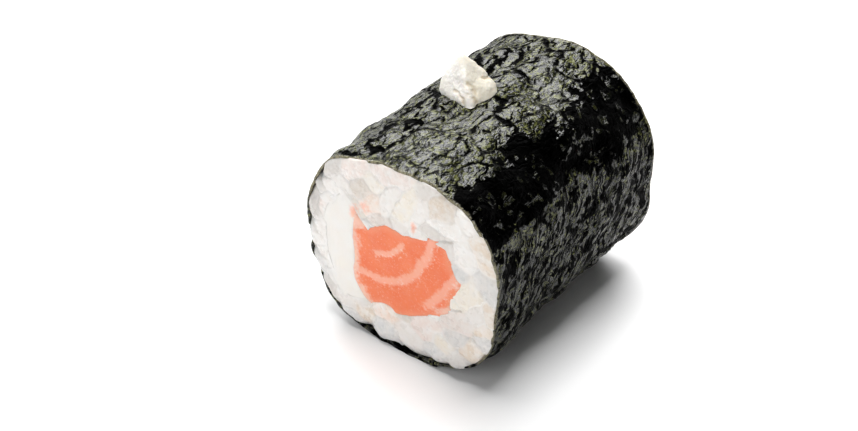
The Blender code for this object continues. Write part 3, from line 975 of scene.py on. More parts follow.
def fit_strip(strip, outline):
    """Brings the strip to the roll's two cuts. Gives its points, their places in the section, their
    distances from its rim, and how much of them is the shown and the far cut face."""
    points = read_points(strip)
    low, high = points[:, 1].min(), points[:, 1].max()
    share = (points[:, 1] - low) / (high - low)
    section = points[:, (0, 2)] / MM
    rim = distance_to(outline, section)
    steps = np.arange(DRIFT_STEPS + 1)
    drift_rows = np.array([strip_drift(step / DRIFT_STEPS) for step in steps])
    for axis, column in ((0, 0), (2, 1)):
        points[:, axis] += np.interp(share * DRIFT_STEPS, steps, drift_rows[:, column])
    front = front_plane(points[:, 2]) + STRIP_RECESS
    back = back_plane(points[:, 2]) - STRIP_RECESS
    points[:, 1] = front + share * (back - front)
    at_front, at_back = eased(1 - share * STRIP_ENDS), eased(1 - (1 - share) * STRIP_ENDS)
    return points, section, rim, at_front, at_back


def turned_place(places, middle, turn):
    """Places as seen from a middle, along and across a line that is turned by some degrees."""
    c, s = math.cos(math.radians(turn)), math.sin(math.radians(turn))
    gap = places - middle
    return np.stack((gap[:, 0] * c + gap[:, 1] * s, gap[:, 1] * c - gap[:, 0] * s), axis=1)


def soft_spot(distance):
    """1 in the middle of a spot or a line, falling off steeply past a distance of 1."""
    return np.exp(-distance ** 2.5)


def spots_at(places, spots):
    """How much each place in the section lies in one of the named spots, from 0 to 1."""
    mask = np.zeros(len(places))
    for middle, half_length, half_width, turn, strength in spots:
        local = turned_place(places, middle, turn) / (half_length, half_width)
        mask = np.maximum(mask, strength * soft_spot(np.hypot(local[:, 0], local[:, 1])))
    return mask


print("strips keep", round(1000 * STRIP_RECESS, 2), "mm behind the cuts")

# %% [markdown]
# The knife leaves the salmon almost flat, with its edge a little drawn back. The pale fat between the
# flakes is softer than the flesh and stands a hair proud. The fat lines are arcs about one point near
# the strip's upper left, because it was cut across the curved flakes of the fillet: a short inner one, a
# long middle one and a short outer one. The middle of a line cuts its corner a little. The flesh is also
# paler in a few places, which are named with their middles and sizes: along the left edge, at the upper
# and the lower left, and twice on the right. Crumbs of fat lie along the outside of each line.

# %% Salmon strip
FLAKE_CENTRE = (-5.0, 6.0)
FAT_ARCS = (
    # radius in mm, from and to in degrees, half width in mm, how far it cuts its corner, in mm
    (6.1, -80, -22, 0.45, 0), (10.2, -130, 10, 0.68, 0.9), (14.0, -52, 2, 0.70, 0.3),
)
ARC_WOBBLE = ((0.35, 2.5, 70), (0.12, 0.7, 73))  # height and size in mm, seed
CORNER, CORNER_REACH = -32, 38  # degrees
ARC_END = 14  # degrees over which an arc runs out
CRUMBS_FROM_ARC, CRUMBS_WIDTH = 0.6, 0.7  # mm
PALE_PLACES = (
    # middle, half length, half width in mm, turn in degrees, strength
    ((-7.3, -2.0), 6.8, 1.15, 88, 0.85), ((-6.2, 3.7), 1.9, 1.1, 60, 0.95),
    ((7.0, -4.0), 2.6, 0.9, 35, 0.8), ((-6.0, -7.9), 2.3, 1.1, -55, 0.8), ((8.7, 1.2), 1.8, 0.6, 70, 0.5),
)
PALE_BLUR = 0.4  # mm
FAT_HEIGHT = 0.05  # mm that the fat stands proud
SALMON_ROUGH = ((0.05, 1.6, 71), (0.03, 0.6, 72))  # height and size in mm, seed
EDGE_DEPTH, EDGE_WIDTH = 0.10, 0.4  # mm

salmon_strip = make_strip("salmon_strip", salmon_outline)
points, section, rim, at_front, at_back = fit_strip(salmon_strip, salmon_outline)
side, height = section[:, 0] - FLAKE_CENTRE[0], section[:, 1] - FLAKE_CENTRE[1]
from_centre = np.hypot(side, height) + layered_noise(section, ARC_WOBBLE)
turned = np.degrees(np.arctan2(height, side))
fat, beside_fat = np.zeros(len(section)), np.zeros(len(section))
corner = eased(1 - np.abs(turned - CORNER) / CORNER_REACH)
for arc_radius, arc_from, arc_to, half_width, cut_by in FAT_ARCS:
    within = eased((turned - arc_from) / ARC_END + 0.5) * eased((arc_to - turned) / ARC_END + 0.5)
    past_arc = from_centre - arc_radius + cut_by * corner
    fat = np.maximum(fat, within * soft_spot(np.abs(past_arc) / half_width))
    crumbed = np.exp(-((past_arc - CRUMBS_FROM_ARC) / CRUMBS_WIDTH) ** 2)
    beside_fat = np.maximum(beside_fat, within * crumbed)
pale = spots_at(section + PALE_BLUR * noise_pair(section, 1.1, 74), PALE_PLACES)
relief = FAT_HEIGHT * fat + layered_noise(section, SALMON_ROUGH)
relief -= EDGE_DEPTH * np.exp(-(rim / EDGE_WIDTH) ** 2)
points[:, 1] -= MM * relief * (at_front - at_back)
write_points(salmon_strip, points)
for name, values in (("rim", rim), ("fat", fat), ("beside_fat", beside_fat), ("pale", pale)):
    paint_points(salmon_strip, name, values)
print("salmon:", len(points), "points,", int((fat > 0.5).sum()), "of them fat")

# %% [markdown]
# Salmon is orange-pink and lets light a few millimetres in, so the shader scatters red light furthest.
# The fat lines, the crumbs and the pale places were painted on its points with the relief. The material
# breaks their borders up with fine noise, makes the outer rim paler where it is thin, and adds tiny pale
# specks all over.

# %% Salmon material
SALMON_FLESH = (0.91, 0.215, 0.078)
SALMON_DEEP = (0.88, 0.180, 0.058)
SALMON_FAT = (0.95, 0.46, 0.33)
SALMON_PALE = (0.93, 0.62, 0.50)
SALMON_RIM = (0.93, 0.33, 0.19)
SALMON_CRUMB = (0.96, 0.74, 0.64)


def breaking_up(tree, place, strength):
    """Fine noise about 0, which breaks up the border of a mask that it is added to."""
    fine = math_node(tree, "SUBTRACT", noise_texture(tree, place, 0.40, 4.0), 0.5)
    return math_node(tree, "MULTIPLY", fine, strength)


salmon_paint, tree, shader = new_material("salmon_flesh")
place = place_in_mm(tree)
broken = breaking_up(tree, place, 1.3)
fat = map_range(tree, math_node(tree, "ADD", attribute(tree, "fat"), broken), 0.15, 0.85)
pale = map_range(tree, math_node(tree, "ADD", attribute(tree, "pale"), broken), 0.10, 0.90)
deep = use_group(tree, blotches, place, size=3.0, cover=0.5, softness=0.3)
colour = mix_colour(tree, deep, SALMON_FLESH, SALMON_DEEP)
pale_rim = map_range(tree, attribute(tree, "rim"), 0.1, 1.3, 0.6, 0.0)
colour = mix_colour(tree, pale_rim, colour, SALMON_RIM)
colour = tinted(tree, colour, SALMON_FAT, fat, 0.75)
colour = tinted(tree, colour, SALMON_PALE, pale, 0.8)
specks = use_group(tree, blotches, place, size=0.28, cover=0.36, softness=0.08)
colour = tinted(tree, colour, SALMON_FAT, specks, 0.5)
crumbs = use_group(tree, blotches, place, size=0.45, cover=0.38, softness=0.08)
crumbs = math_node(tree, "MULTIPLY", crumbs, attribute(tree, "beside_fat"))
colour = tinted(tree, colour, SALMON_CRUMB, crumbs, 0.55)
light, gloss, fibres = (0.25, (1.0, 0.35, 0.2), 1.0), (1.4, 0.38, 0.55), (0.5, 0.08)
bumped = moist_food(tree, shader, place, colour, light, gloss, fibres)
add_bump(tree, shader, fat, 0.03 * MM, bumped)
finish_piece(salmon_strip, "salmon", salmon_paint)

# %% [markdown]
# The cream cheese is pressed into a smooth crescent against the salmon. The knife smears it over its
# border to the rice, so its face has only faint streaks, and its outer edge hardly shows. The knife also
# leaves a little of the salmon on what lies above it: on the tip of the cream and on two grains of rice.

# %% Cream cheese strip
SALMON_STAINS = (
    # middle, half length, half width in mm, turn in degrees, strength
    ((-6.6, 4.9), 1.5, 0.8, 80, 0.95), ((-5.0, 6.4), 1.4, 1.2, 40, 0.70),
    ((2.3, 6.9), 1.1, 0.55, 80, 0.85),
)
STAIN = (0.92, 0.44, 0.30)
CREAM_WHITE = (0.86, 0.84, 0.805)
CREAM_WARM = (0.85, 0.81, 0.75)

cream_strip = make_strip("cream_strip", cream_outline)
points, section, rim, at_front, at_back = fit_strip(cream_strip, cream_outline)
smeared = section * (1.0, 0.25)
relief = 0.05 * smooth_noise(smeared, 0.6, 80) + 0.10 * smooth_noise(section, 2.6, 81)
relief += 0.02 - 0.03 * np.exp(-(rim / 0.5) ** 2)
points[:, 1] -= MM * relief * (at_front - at_back)
write_points(cream_strip, points)
paint_points(cream_strip, "stain", spots_at(section, SALMON_STAINS) * at_front)


def stained(tree, place, colour):
    """The colour with specks of salmon where the knife left some."""
    stain = attribute(tree, "stain")
    speckled = math_node(tree, "ADD", stain, breaking_up(tree, place, 1.6))
    return tinted(tree, colour, STAIN, map_range(tree, speckled, 0.15, 0.90), stain)


cream_paint, tree, shader = new_material("cream_cheese_smooth")
place = place_in_mm(tree)
warm = use_group(tree, blotches, place, size=2.5, cover=0.45, softness=0.4)
colour = stained(tree, place, mix_colour(tree, warm, CREAM_WHITE, CREAM_WARM))
light, gloss, streaks = (0.25, (1.0, 0.85, 0.65), 0.8), (1.0, 0.38, 0.50), (0.7, 0.05)
moist_food(tree, shader, place, colour, light, gloss, streaks)
finish_piece(cream_strip, "cream_cheese", cream_paint)

# %% [markdown]
# ## The rice
#
# At the cut the rice is a packed mosaic: most grains are cut flat by the knife and pressed against each
# other, so only soft seams show between them, while at the left and the bottom whole grains stay round.
# A heap of separate grains would leave gaps that the real rice hasn't. So the rice is one ring between
# the fillings and the nori: two circles are bridged with many cuts and extruded through the roll, the
# ring is fitted, and each point of its two faces is pressed in by the grains that meet there. The bridge
# is made between circles that lie apart and is then flattened, as circles in one plane would be twisted.

# %% A ring with fine faces
RICE_COLUMNS = 576
RICE_RINGS = 52
EDGE_STEP = 0.12  # between the face and the first row behind it; the whole ring is 2 long and 2 in radius

deselect_all()
bpy.ops.mesh.primitive_circle_add(
    vertices=RICE_COLUMNS, radius=2, fill_type="NOTHING",
    location=(0, -1, 0), rotation=(math.pi / 2, 0, 0))
rice = bpy.context.object
rice.name = "rice_grains"
bpy.ops.object.transform_apply(location=True, rotation=True, scale=True)
bpy.ops.object.mode_set(mode="EDIT")
bpy.ops.mesh.select_all(action="SELECT")
bpy.ops.mesh.duplicate_move(TRANSFORM_OT_translate={"value": (0, 2, 0)})
bpy.ops.transform.resize(value=(0.5, 1, 0.5), center_override=(0, 1, 0))
bpy.ops.mesh.select_all(action="SELECT")
bpy.ops.mesh.bridge_edge_loops(number_cuts=RICE_RINGS)
bpy.ops.mesh.select_all(action="SELECT")
bpy.ops.transform.resize(value=(1, 0, 1), center_override=(0, -1, 0))
for step in (EDGE_STEP, 2 - 2 * EDGE_STEP, EDGE_STEP):
    bpy.ops.mesh.extrude_region_move(TRANSFORM_OT_translate={"value": (0, step, 0)})
bpy.ops.mesh.select_all(action="SELECT")
bpy.ops.mesh.normals_make_consistent(inside=False)
bpy.ops.object.mode_set(mode="OBJECT")
ring = read_points(rice)
ring[:, 2] += AXIS_HEIGHT
print("ring:", len(ring), "points, radius from", round(np.hypot(ring[:, 0], ring[:, 2]).min(), 2))

# %% [markdown]
# The hole in the ring is the outline of both fillings together, seen from a point between them. The
# outside follows the inside of the nori.

# %% Fit the ring between the fillings and the nori
HOLE_CENTRE = np.array((-1.5, -1.0))
HOLE_COLUMNS = 720
HOLE_SLACK = 8  # columns by which the edge closes in where it runs towards the centre
BESIDE_CREAM = (122, 12, 244, 12)
HOLE_OVERLAP, CREAM_OVERLAP = 0.12, 0.45  # mm by which the ring covers a filling, and more of the cream
RIM_INSIDE = 0.09 * MM  # how far the ring keeps inside the nori's outside
RIM_THICKER, THICKER_PLACE = 0.16 * MM, (146, 26)  # where more of the nori shows
OVERHANG = 0.24 * MM  # how far the grains hang over the sheet's edge at the lower left
FAR_RIM_INSIDE = 0.15 * MM
WALL_INSET = 1.0 * MM  # keeps the hidden wall clear of the sheet's dips


def beside_cream(angle):
    """1 where the ring borders the cream cheese, into which its face runs without a step."""
    return span(angle, *BESIDE_CREAM)


def hole_radius(angle):
    """Distance in mm from the hole's centre to the edge of the fillings, for an array of angles."""
    edge = np.zeros(HOLE_COLUMNS)
    columns_a_degree = HOLE_COLUMNS // 360
    for outline in (salmon_outline, cream_outline):
        share = np.linspace(0, 1, 24, endpoint=False)[:, None, None]
        dense = (outline + share * (np.roll(outline, -1, axis=0) - outline)).reshape(-1, 2) - HOLE_CENTRE
        degrees = np.degrees(np.arctan2(dense[:, 1], dense[:, 0]))
        column = np.round(degrees * columns_a_degree).astype(int) % HOLE_COLUMNS
        np.maximum.at(edge, column, np.hypot(dense[:, 0], dense[:, 1]))
    kernel = np.array((0.1, 0.2, 0.4, 0.2, 0.1))
    edge = np.convolve(np.concatenate((edge[-2:], edge, edge[:2])), kernel, mode="valid")
    edge = np.min([np.roll(edge, step) for step in range(-HOLE_SLACK, HOLE_SLACK + 1)], axis=0)
    at = np.degrees(angle) % 360 * columns_a_degree
    edge = np.interp(at, np.arange(HOLE_COLUMNS + 1), np.append(edge, edge[0]))
    return edge - HOLE_OVERLAP - CREAM_OVERLAP * beside_cream(angle)


column_angle = np.arctan2(ring[:, 2], ring[:, 0])
ring_share = np.clip(np.hypot(ring[:, 0], ring[:, 2]) - 1, 0, 1)
is_back = ring[:, 1] > 0
outwards = np.stack((np.cos(column_angle), np.sin(column_angle)), axis=1)
inner = HOLE_CENTRE + hole_radius(column_angle)[:, None] * outwards
inner[is_back] += strip_drift(1.0) / MM
outer_radius = section_radius(column_angle)
rim_y = np.where(is_back, 0.5, -0.5) * ROLL_LENGTH
between_cuts = np.abs(ring[:, 1]) < 0.95
rim_inside = RIM_INSIDE + RIM_THICKER * nearness(column_angle, *THICKER_PLACE)
rim_inside += room_for_lap(column_angle)
rim_inside += np.where(is_back, FAR_RIM_INSIDE, -OVERHANG * nearness(column_angle, *COVERED))
wall = outer_radius - rim_inside + swell(column_angle, rim_y) - WALL_INSET * between_cuts
outer = wall[:, None] * outwards / MM
face_place = inner + ring_share[:, None] * (outer - inner)
ring_width = np.hypot(*(outer - inner).T)
print("from the fillings to the nori, mm:", round(ring_width.min(), 1), "to", round(ring_width.max(), 1))
from_wall = (1 - ring_share) * ring_width
from_hole = ring_share * ring_width

# %% [markdown]
# A cooked grain is about 5 mm long and 2.3 mm wide, but the knife meets it at any angle, so on the cut it
# shows as anything from a round spot to a long oval. The grains that stand out most are named one by one
# with their place, size and turn; a seeded draw fills the rest, with more room between the larger ones.

# %% Grains on the cut faces
# The grey grains along the left and the bottom rim are painted shade there; elsewhere grey is a grain's
# own tone.
SHOWN_GRAINS = (
    # place (x, z), length, width in mm, turn in degrees, look
    ((-9.8, 9.8), 3.4, 2.2, 46, "grey"), ((-6.6, 11.1), 4.9, 2.4, 36, "pink"),
    ((-10.2, 7.2), 2.6, 2.0, 38, "white"), ((-10.9, 5.0), 2.3, 1.7, 44, "white"),
    ((-5.8, 8.9), 3.9, 2.3, 44, "tan"), ((-4.0, 7.1), 3.8, 2.9, 39, "peach"),
    ((-0.5, 13.0), 5.6, 2.6, 14, "pink"), ((1.6, 9.9), 7.4, 2.4, -117, "cream"),
    ((-1.2, 9.2), 6.4, 1.7, -117, "white"), ((3.4, 9.6), 5.6, 1.9, -118, "white"),
    ((6.2, 11.3), 4.5, 3.0, 3, "tan"), ((7.5, 9.0), 5.6, 2.4, 14, "white"),
    ((5.3, 7.6), 4.2, 1.9, 10, "white"), ((9.7, 6.4), 4.7, 2.9, -83, "white"),
    ((12.0, 7.5), 5.4, 2.4, -68, "tan"), ((10.0, 11.0), 3.1, 2.6, -33, "white"),
    ((12.9, 2.7), 3.9, 2.7, -59, "grey"), ((10.0, 0.2), 6.0, 3.5, 46, "cream"),
    ((13.0, -1.3), 3.6, 2.2, -77, "tan"), ((8.4, -4.9), 5.8, 2.9, 16, "pink"),
    ((12.1, -4.2), 3.2, 2.4, 20, "tan"), ((3.6, -8.4), 5.2, 3.4, 49, "pink"),
    ((1.0, -11.2), 4.3, 3.4, -42, "white"), ((-3.0, -12.2), 3.4, 3.0, -1, "grey"),
    ((-2.6, -9.4), 4.1, 2.6, 1, "peach"), ((-6.0, -10.9), 3.0, 2.8, -19, "tan"),
    ((7.8, -8.0), 3.4, 2.6, 13, "grey"), ((4.8, -11.7), 3.5, 2.6, -3, "grey"),
    ((7.9, -11.4), 2.7, 2.8, -24, "grey"), ((10.3, -8.6), 4.2, 2.4, 38, "tan"),
    ((-8.0, -12.2), 3.0, 2.2, -29, "grey"), ((-12.9, 1.9), 3.7, 2.2, -80, "grey"),
    ((-13.1, -2.6), 3.0, 2.2, -80, "white"), ((-12.7, -6.4), 3.4, 1.8, -72, "grey"),
    ((-11.2, -9.6), 3.6, 2.0, -55, "grey"), ((-11.9, 6.2), 2.2, 1.6, -63, "grey"),
)
GRAIN_TRIES = 6000
GRAIN_LOOKS = {"white": 10, "pink": 2, "tan": 2, "grey": 4, "cream": 2, "peach": 0}  # how often drawn
GRAIN_ROOM = 0.8  # mm that a grain keeps free round itself
INTO_FILLING = 0.6  # mm that a grain's middle may lie inside a filling
FROM_NORI = 0.9  # mm that it keeps from the nori


def depth_inside(outline, places):
    """How far places are inside an outline, in mm; less than 0 outside it."""
    inside = np.zeros(len(places), bool)
    for start, end in zip(outline, np.roll(outline, -1, axis=0)):
        crosses = (start[1] > places[:, 1]) != (end[1] > places[:, 1])
        rise = end[1] - start[1] if end[1] != start[1] else 1
        at_x = start[0] + (places[:, 1] - start[1]) / rise * (end[0] - start[0])
        inside ^= crosses & (at_x > places[:, 0])
    return distance_to(outline, places) * np.where(inside, 1, -1)


def clear_of(places, middle, length, width, turn):
    """True for the places that are outside a grain and the room round it."""
    local = turned_place(places, middle, turn) / (length / 2 + GRAIN_ROOM, width / 2 + GRAIN_ROOM)
    return np.hypot(local[:, 0], local[:, 1]) > 1


def random_grains(already, seed):
    """Fills the ring round the grains that are already there with seeded ones."""
    rng = np.random.default_rng(seed)
    angles = rng.uniform(0, 2 * math.pi, GRAIN_TRIES)
    distances = 14.5 * np.sqrt(rng.random(GRAIN_TRIES))
    places = np.stack((distances * np.cos(angles), distances * np.sin(angles)), axis=1)
    in_filling = np.maximum(depth_inside(salmon_outline, places), depth_inside(cream_outline, places))
    free = (in_filling < INTO_FILLING) & (distances < section_radius(angles) / MM - FROM_NORI)
    for middle, length, width, turn, _ in already:
        free &= clear_of(places, middle, length, width, turn)
    often = np.array(list(GRAIN_LOOKS.values()))
    looks = rng.choice(list(GRAIN_LOOKS), GRAIN_TRIES, p=often / often.sum())
    grains = list(already)
    while free.any():
        pick = int(np.argmax(free))
        length, width, turn = rng.choice((2.4, 3.0, 3.8, 4.8)), rng.uniform(2.0, 2.6), rng.uniform(0, 180)
        grains.append((tuple(places[pick]), length, width, turn, str(looks[pick])))
        free &= clear_of(places, places[pick], length, width, turn)
    return grains


front_grains = random_grains(SHOWN_GRAINS, 5)
back_grains = random_grains((), 6)
print("grains on the shown cut:", len(front_grains), "and on the far one:", len(back_grains))

# %% [markdown]
# Each point of a face belongs to the grain that it lies deepest in. It is pressed in along the seam to
# the next grain, which runs out here and there, and round the shoulders of grains that aren't cut flat.
# At the outer edge on the left and below, the grains round off towards the nori, and in a few places a
# narrow gap opens beside it. The looks of two grains run into each other at their seam.

# %% Press the grains into the faces
SEAM_DEPTH, SEAM_WIDTH = 0.12, 0.19  # mm
BLEND_WIDTH = 0.30  # mm beside a seam over which the looks of two grains mix
GRAIN_POWER = 2.3  # exponent of a grain's oval: 2 is an ellipse
GRAIN_WOBBLE = 0.22  # mm by which its border wanders
GRAIN_TILT, GRAIN_LEVELS = 0.06, (-0.06, 0.08)  # most tilt of its face; least and most depth in mm
DOME_DEPTH, HOLLOW_DEPTH = 0.07, 0.4  # mm at a grain's border, and where no grain reaches
SHOULDER_DEPTH, SHOULDER_WIDTH = (0.08, 0.14), (0.3, 0.8)  # mm at the rim, and added where it is round
ROUND_GRAINS = (125, 25, 330, 30)
RIM_GAPS = ((143, 7), (236, 4), (250, 4), (263, 6), (324, 6))  # middle and reach in degrees
GAP_DEPTH, GAP_WIDTH = 0.7, 0.4  # mm
SMEAR_WIDTH, SMEAR_DEPTH = 1.2, 0.07  # mm: where the cream cheese was smeared over the grains


def roundness(angle):
    """1 where the rim's grains stay round, 0 where the knife cut them level with the nori."""
    return span(angle, *ROUND_GRAINS)


def press_grains(places, grains, seed):
    """For places on a face: depth in mm, the grain, the next one and its share, the seam, and how far out
    in its grain each place is."""
    moved = places + GRAIN_WOBBLE * noise_pair(places, 1.3, seed)
    first = np.full(len(places), FAR_AWAY)
    second = np.full(len(places), FAR_AWAY)
    owner = np.zeros(len(places), int)
    runner_up = np.zeros(len(places), int)
    for number, (middle, length, width, turn, _) in enumerate(grains):
        local = np.abs(turned_place(moved, middle, turn)) / (length / 2, width / 2)
        reach = (local[:, 0] ** GRAIN_POWER + local[:, 1] ** GRAIN_POWER) ** (1 / GRAIN_POWER)
        closer = reach < first
        runner_up = np.where(closer, owner, np.where(reach < second, number, runner_up))
        second = np.where(closer, first, np.minimum(second, reach))
        first = np.where(closer, reach, first)
        owner[closer] = number
    widths = np.array([grain[2] for grain in grains])[owner]
    middles = np.array([grain[0] for grain in grains])[owner]
    rng = np.random.default_rng(seed)
    tilt = rng.uniform(-GRAIN_TILT, GRAIN_TILT, (len(grains), 2))[owner]
    level = rng.uniform(*GRAIN_LEVELS, len(grains))[owner]
    to_seam = (second - first) * widths / 2
    seam = np.exp(-(to_seam / SEAM_WIDTH) ** 2) * eased(0.6 + 0.8 * smooth_noise(places, 2.4, seed + 2))
    blend = 0.5 * np.exp(-to_seam / BLEND_WIDTH)
    depth = level + np.sum(tilt * (places - middles), axis=1) + DOME_DEPTH * np.minimum(first, 1.5) ** 3
    depth += SEAM_DEPTH * seam
    depth += HOLLOW_DEPTH * np.clip(first - 1.1, 0, 0.8) ** 1.3
    return depth, owner, runner_up, blend, seam, first


depth = np.zeros(len(ring))
seam = np.zeros(len(ring))
clear = np.zeros(len(ring))
masks = {look: np.zeros(len(ring)) for look in GRAIN_LOOKS if look != "white"}
for side, grains, seed in ((~is_back, front_grains, 100), (is_back, back_grains, 200)):
    spots = face_place[side]
    pressed, owner, runner_up, blend, seams, reach = press_grains(spots, grains, seed)
    rounded = roundness(column_angle[side])
    deep, wide = (level + more * rounded for level, more in (SHOULDER_DEPTH, SHOULDER_WIDTH))
    pressed += deep * np.clip(1 - from_wall[side] / wide, 0, 1) ** 2
    near_wall = np.exp(-((from_wall[side] - 0.8) / 1.1) ** 2)
    pressed += 0.30 * rounded * (np.minimum(reach, 1.2) ** 2 - 0.55) * near_wall
    beside_nori = GAP_DEPTH * np.exp(-(from_wall[side] / GAP_WIDTH) ** 2)
    for middle, gap_reach in RIM_GAPS:
        pressed += nearness(column_angle[side], middle, gap_reach) * beside_nori
    at_cream = beside_cream(column_angle[side])
    pressed += 0.12 * (1 - at_cream) * np.clip(1 - from_hole[side] / 0.35, 0, 1) ** 2
    pressed += 0.04 * smooth_noise(spots, 0.7, seed + 5)
    smeared = at_cream * np.exp(-(from_hole[side] / SMEAR_WIDTH) ** 2)
    pressed += smeared * (SMEAR_DEPTH - pressed)
    depth[side], seam[side] = pressed, seams * (1 - smeared)
    clearness = np.random.default_rng(seed + 6).random(len(grains)) ** 2
    clear[side] = (1 - smeared) * ((1 - blend) * clearness[owner] + blend * clearness[runner_up])
    looks = np.array([grain[4] for grain in grains])
    plain = (1 - 0.6 * seams) * (1 - smeared)
    for look, mask in masks.items():
        of_look = looks == look
        mask[side] = plain * ((1 - blend) * of_look[owner] + blend * of_look[runner_up])
depth += 2.0 * between_cuts
points = np.column_stack((face_place[:, 0], depth, face_place[:, 1])) * MM
height = points[:, 2]
points[:, 1] = np.where(is_back, back_plane(height) - points[:, 1], front_plane(height) + points[:, 1])
write_points(rice, points)
# Painted shade: grey near the nori at the left and the bottom, where the dark sheet shows through.
rim_shade = np.exp(-(from_wall / 1.1) ** 2) * roundness(column_angle)
stain = spots_at(face_place, SALMON_STAINS) * ~is_back
masks.update({"rim_shade": rim_shade, "seam": seam, "clear": clear, "stain": stain})
for name, values in masks.items():
    paint_points(rice, name, values)
print("pressed in by up to", round(depth.max(), 2), "mm")

# %% [markdown]
# Cooked rice is white and a little see-through, some grains more than others. Whole grains stay whitest,
# cut ones take up a pink or tan tinge from the salmon and the vinegar, and near the nori at the left and
# the bottom the rice is painted grey as shade, where the dark sheet shows through thin grains. Where two
# grains press on each other, starch gathers in a milky line.

# %% Rice material
RICE_WHITE = (0.83, 0.79, 0.745)
# The grey tint is a grain's own tone, and painted shade on the grey grains along the left and the bottom
# rim.
RICE_TINTS = (
    ("pink", (0.80, 0.67, 0.61), 0.80), ("tan", (0.72, 0.59, 0.45), 0.85),
    ("grey", (0.60, 0.62, 0.63), 0.75), ("cream", (0.84, 0.76, 0.62), 0.70),
    ("peach", (0.86, 0.64, 0.50), 0.65),
)
RICE_BRIGHT = (0.88, 0.86, 0.835)
RICE_MILKY = (0.93, 0.915, 0.89)
RICE_CLEAR = (0.62, 0.575, 0.53)
RICE_RIM_SHADE = (0.45, 0.47, 0.48)

rice_paint, tree, shader = new_material("rice_cooked")
place = place_in_mm(tree)
bright = use_group(tree, blotches, place, size=1.1, cover=0.5, softness=0.35)
colour = mix_colour(tree, bright, RICE_WHITE, RICE_BRIGHT)
for look, tint, strength in RICE_TINTS:
    patchy = map_range(tree, noise_texture(tree, place, 1.3, 3.0), 0.35, 0.6, 0.4 * strength, strength)
    colour = tinted(tree, colour, tint, attribute(tree, look), patchy)
milky = use_group(tree, blotches, place, size=0.45, cover=0.42, softness=0.25)
colour = tinted(tree, colour, RICE_MILKY, milky, 0.35)
# Painted shade at the rim beside the nori.
colour = tinted(tree, colour, RICE_RIM_SHADE, attribute(tree, "rim_shade"), 0.28)
colour = tinted(tree, colour, RICE_CLEAR, attribute(tree, "clear"), 0.72)
along_fibres = stretched(tree, place, 0.35, 1.0, 0.6)
fibres = use_group(tree, blotches, along_fibres, size=1.0, cover=0.42, softness=0.3)
colour = tinted(tree, colour, RICE_BRIGHT, fibres, 0.30)
colour = tinted(tree, colour, RICE_MILKY, attribute(tree, "seam"), 0.45)
light, gloss, sticky = (0.3, (1.0, 0.85, 0.75), 0.6), (0.9, 0.24, 0.42), (0.7, 0.10)
moist_food(tree, shader, place, stained(tree, place, colour), light, gloss, sticky)
finish_piece(rice, "rice", rice_paint)

# %% [markdown]
# ## The dab on top
#
# The dab of cream cheese was broken off, so it is a chunk with a peak, two flat broken faces that meet in
# a ridge, and lumps and creases at its foot. Its outline is drawn as named points in the plane that faces
# the camera, and the faces are planes at a distance from its middle. The surface lies where the nearest
# of these cuts it off, and its underside is pushed out to the nori that it rests on.

# %% Outline and faces of the dab
DAB_MIDDLE = (-3.3, 1.1, 15.6)  # mm about the roll's axis
DAB_ACROSS, DAB_UPWARD = (0.791, 0.612, 0.0), (-0.379, 0.490, 0.785)
DAB_TOWARDS = (0.480, -0.621, 0.620)
DAB_OUTLINE = (  # across and upward in mm, anticlockwise from the peak
    (-0.6, 3.2), (-1.1, 2.8), (-1.5, 2.4), (-2.0, 1.8), (-2.6, 0.9), (-3.0, 0.4), (-3.3, -0.2),
    (-3.5, -1.0), (-3.2, -1.4), (-2.8, -1.9), (-2.2, -2.4), (-1.5, -2.7), (-0.7, -3.0), (-0.2, -3.4),
    (0.4, -3.9), (0.9, -3.6), (1.8, -3.2), (2.6, -3.0), (3.3, -2.5), (3.5, -2.0), (3.6, -1.3),
    (3.3, -0.2), (2.6, 0.5), (2.1, 1.2), (1.3, 1.9), (0.4, 2.6), (-0.1, 2.9),
)
DAB_FACES = (
    # normal as across, upward and towards; distance in mm
    ((-0.74, 0.00, 0.67), 1.95), ((0.46, 0.20, 0.86), 2.15), ((-0.10, -0.85, 0.52), 3.3),
    ((0.50, 0.85, -0.20), 3.0), ((-0.60, 0.35, -0.70), 3.0), ((0.10, -0.20, -0.97), 3.0),
)
DAB_LUMPS = (
    # direction, height in mm, tightness
    ((0.10, -0.86, 0.50), 1.15, 30.0), ((0.80, -0.38, 0.45), 0.45, 12.0),
    ((-0.30, -0.75, 0.60), 0.30, 14.0),
)
DAB_CREASES = (  # across and upward in mm
    ((-1.5, -1.4), (-0.9, -2.0), (-0.5, -2.4), (-0.4, -3.4)), ((-0.5, -2.2), (0.1, -1.9), (0.9, -2.2)),
    ((0.9, -2.2), (1.2, -2.8), (1.4, -3.6)), ((0.2, -0.6), (0.8, -1.3), (1.3, -1.9)),
    ((1.8, 0.3), (2.4, 0.1), (3.0, 0.3)),
)
CREASE_WIDTH, CREASE_DEPTH = 0.26, 0.20  # mm
DAB_ROUGH = ((0.08, 1.7, 90), (0.06, 0.8, 91), (0.04, 0.3, 92))  # height and size in mm, seed
DAB_EDGE = 9  # how sharp the edges between the faces are
DAB_CLEARANCE = 0.05 * MM


def outline_reach(turn):
    """Distance in mm from the dab's middle to its outline, for an array of turns in its plane."""
    named = np.array(DAB_OUTLINE)
    at = np.arctan2(named[:, 1], named[:, 0])
    order = np.argsort(at)
    return np.interp(turn, at[order], np.hypot(*named[order].T), period=2 * math.pi)


def dab_reach(aims):
    """Distance in mm from the dab's middle to its surface, for directions in its own axes."""
    flat = np.hypot(aims[:, 0], aims[:, 1])
    closeness = (flat / outline_reach(np.arctan2(aims[:, 1], aims[:, 0]))) ** DAB_EDGE
    for normal, distance in DAB_FACES:
        closeness += np.maximum(0, aims @ np.array(normal) / distance) ** DAB_EDGE
    reach = closeness ** (-1 / DAB_EDGE)
    for aim, height, tightness in DAB_LUMPS:
        reach += height * np.exp(tightness * (aims @ np.array(aim) / np.linalg.norm(aim) - 1))
    return reach


print("the dab is drawn with", len(DAB_OUTLINE), "outline points and", len(DAB_FACES), "faces")

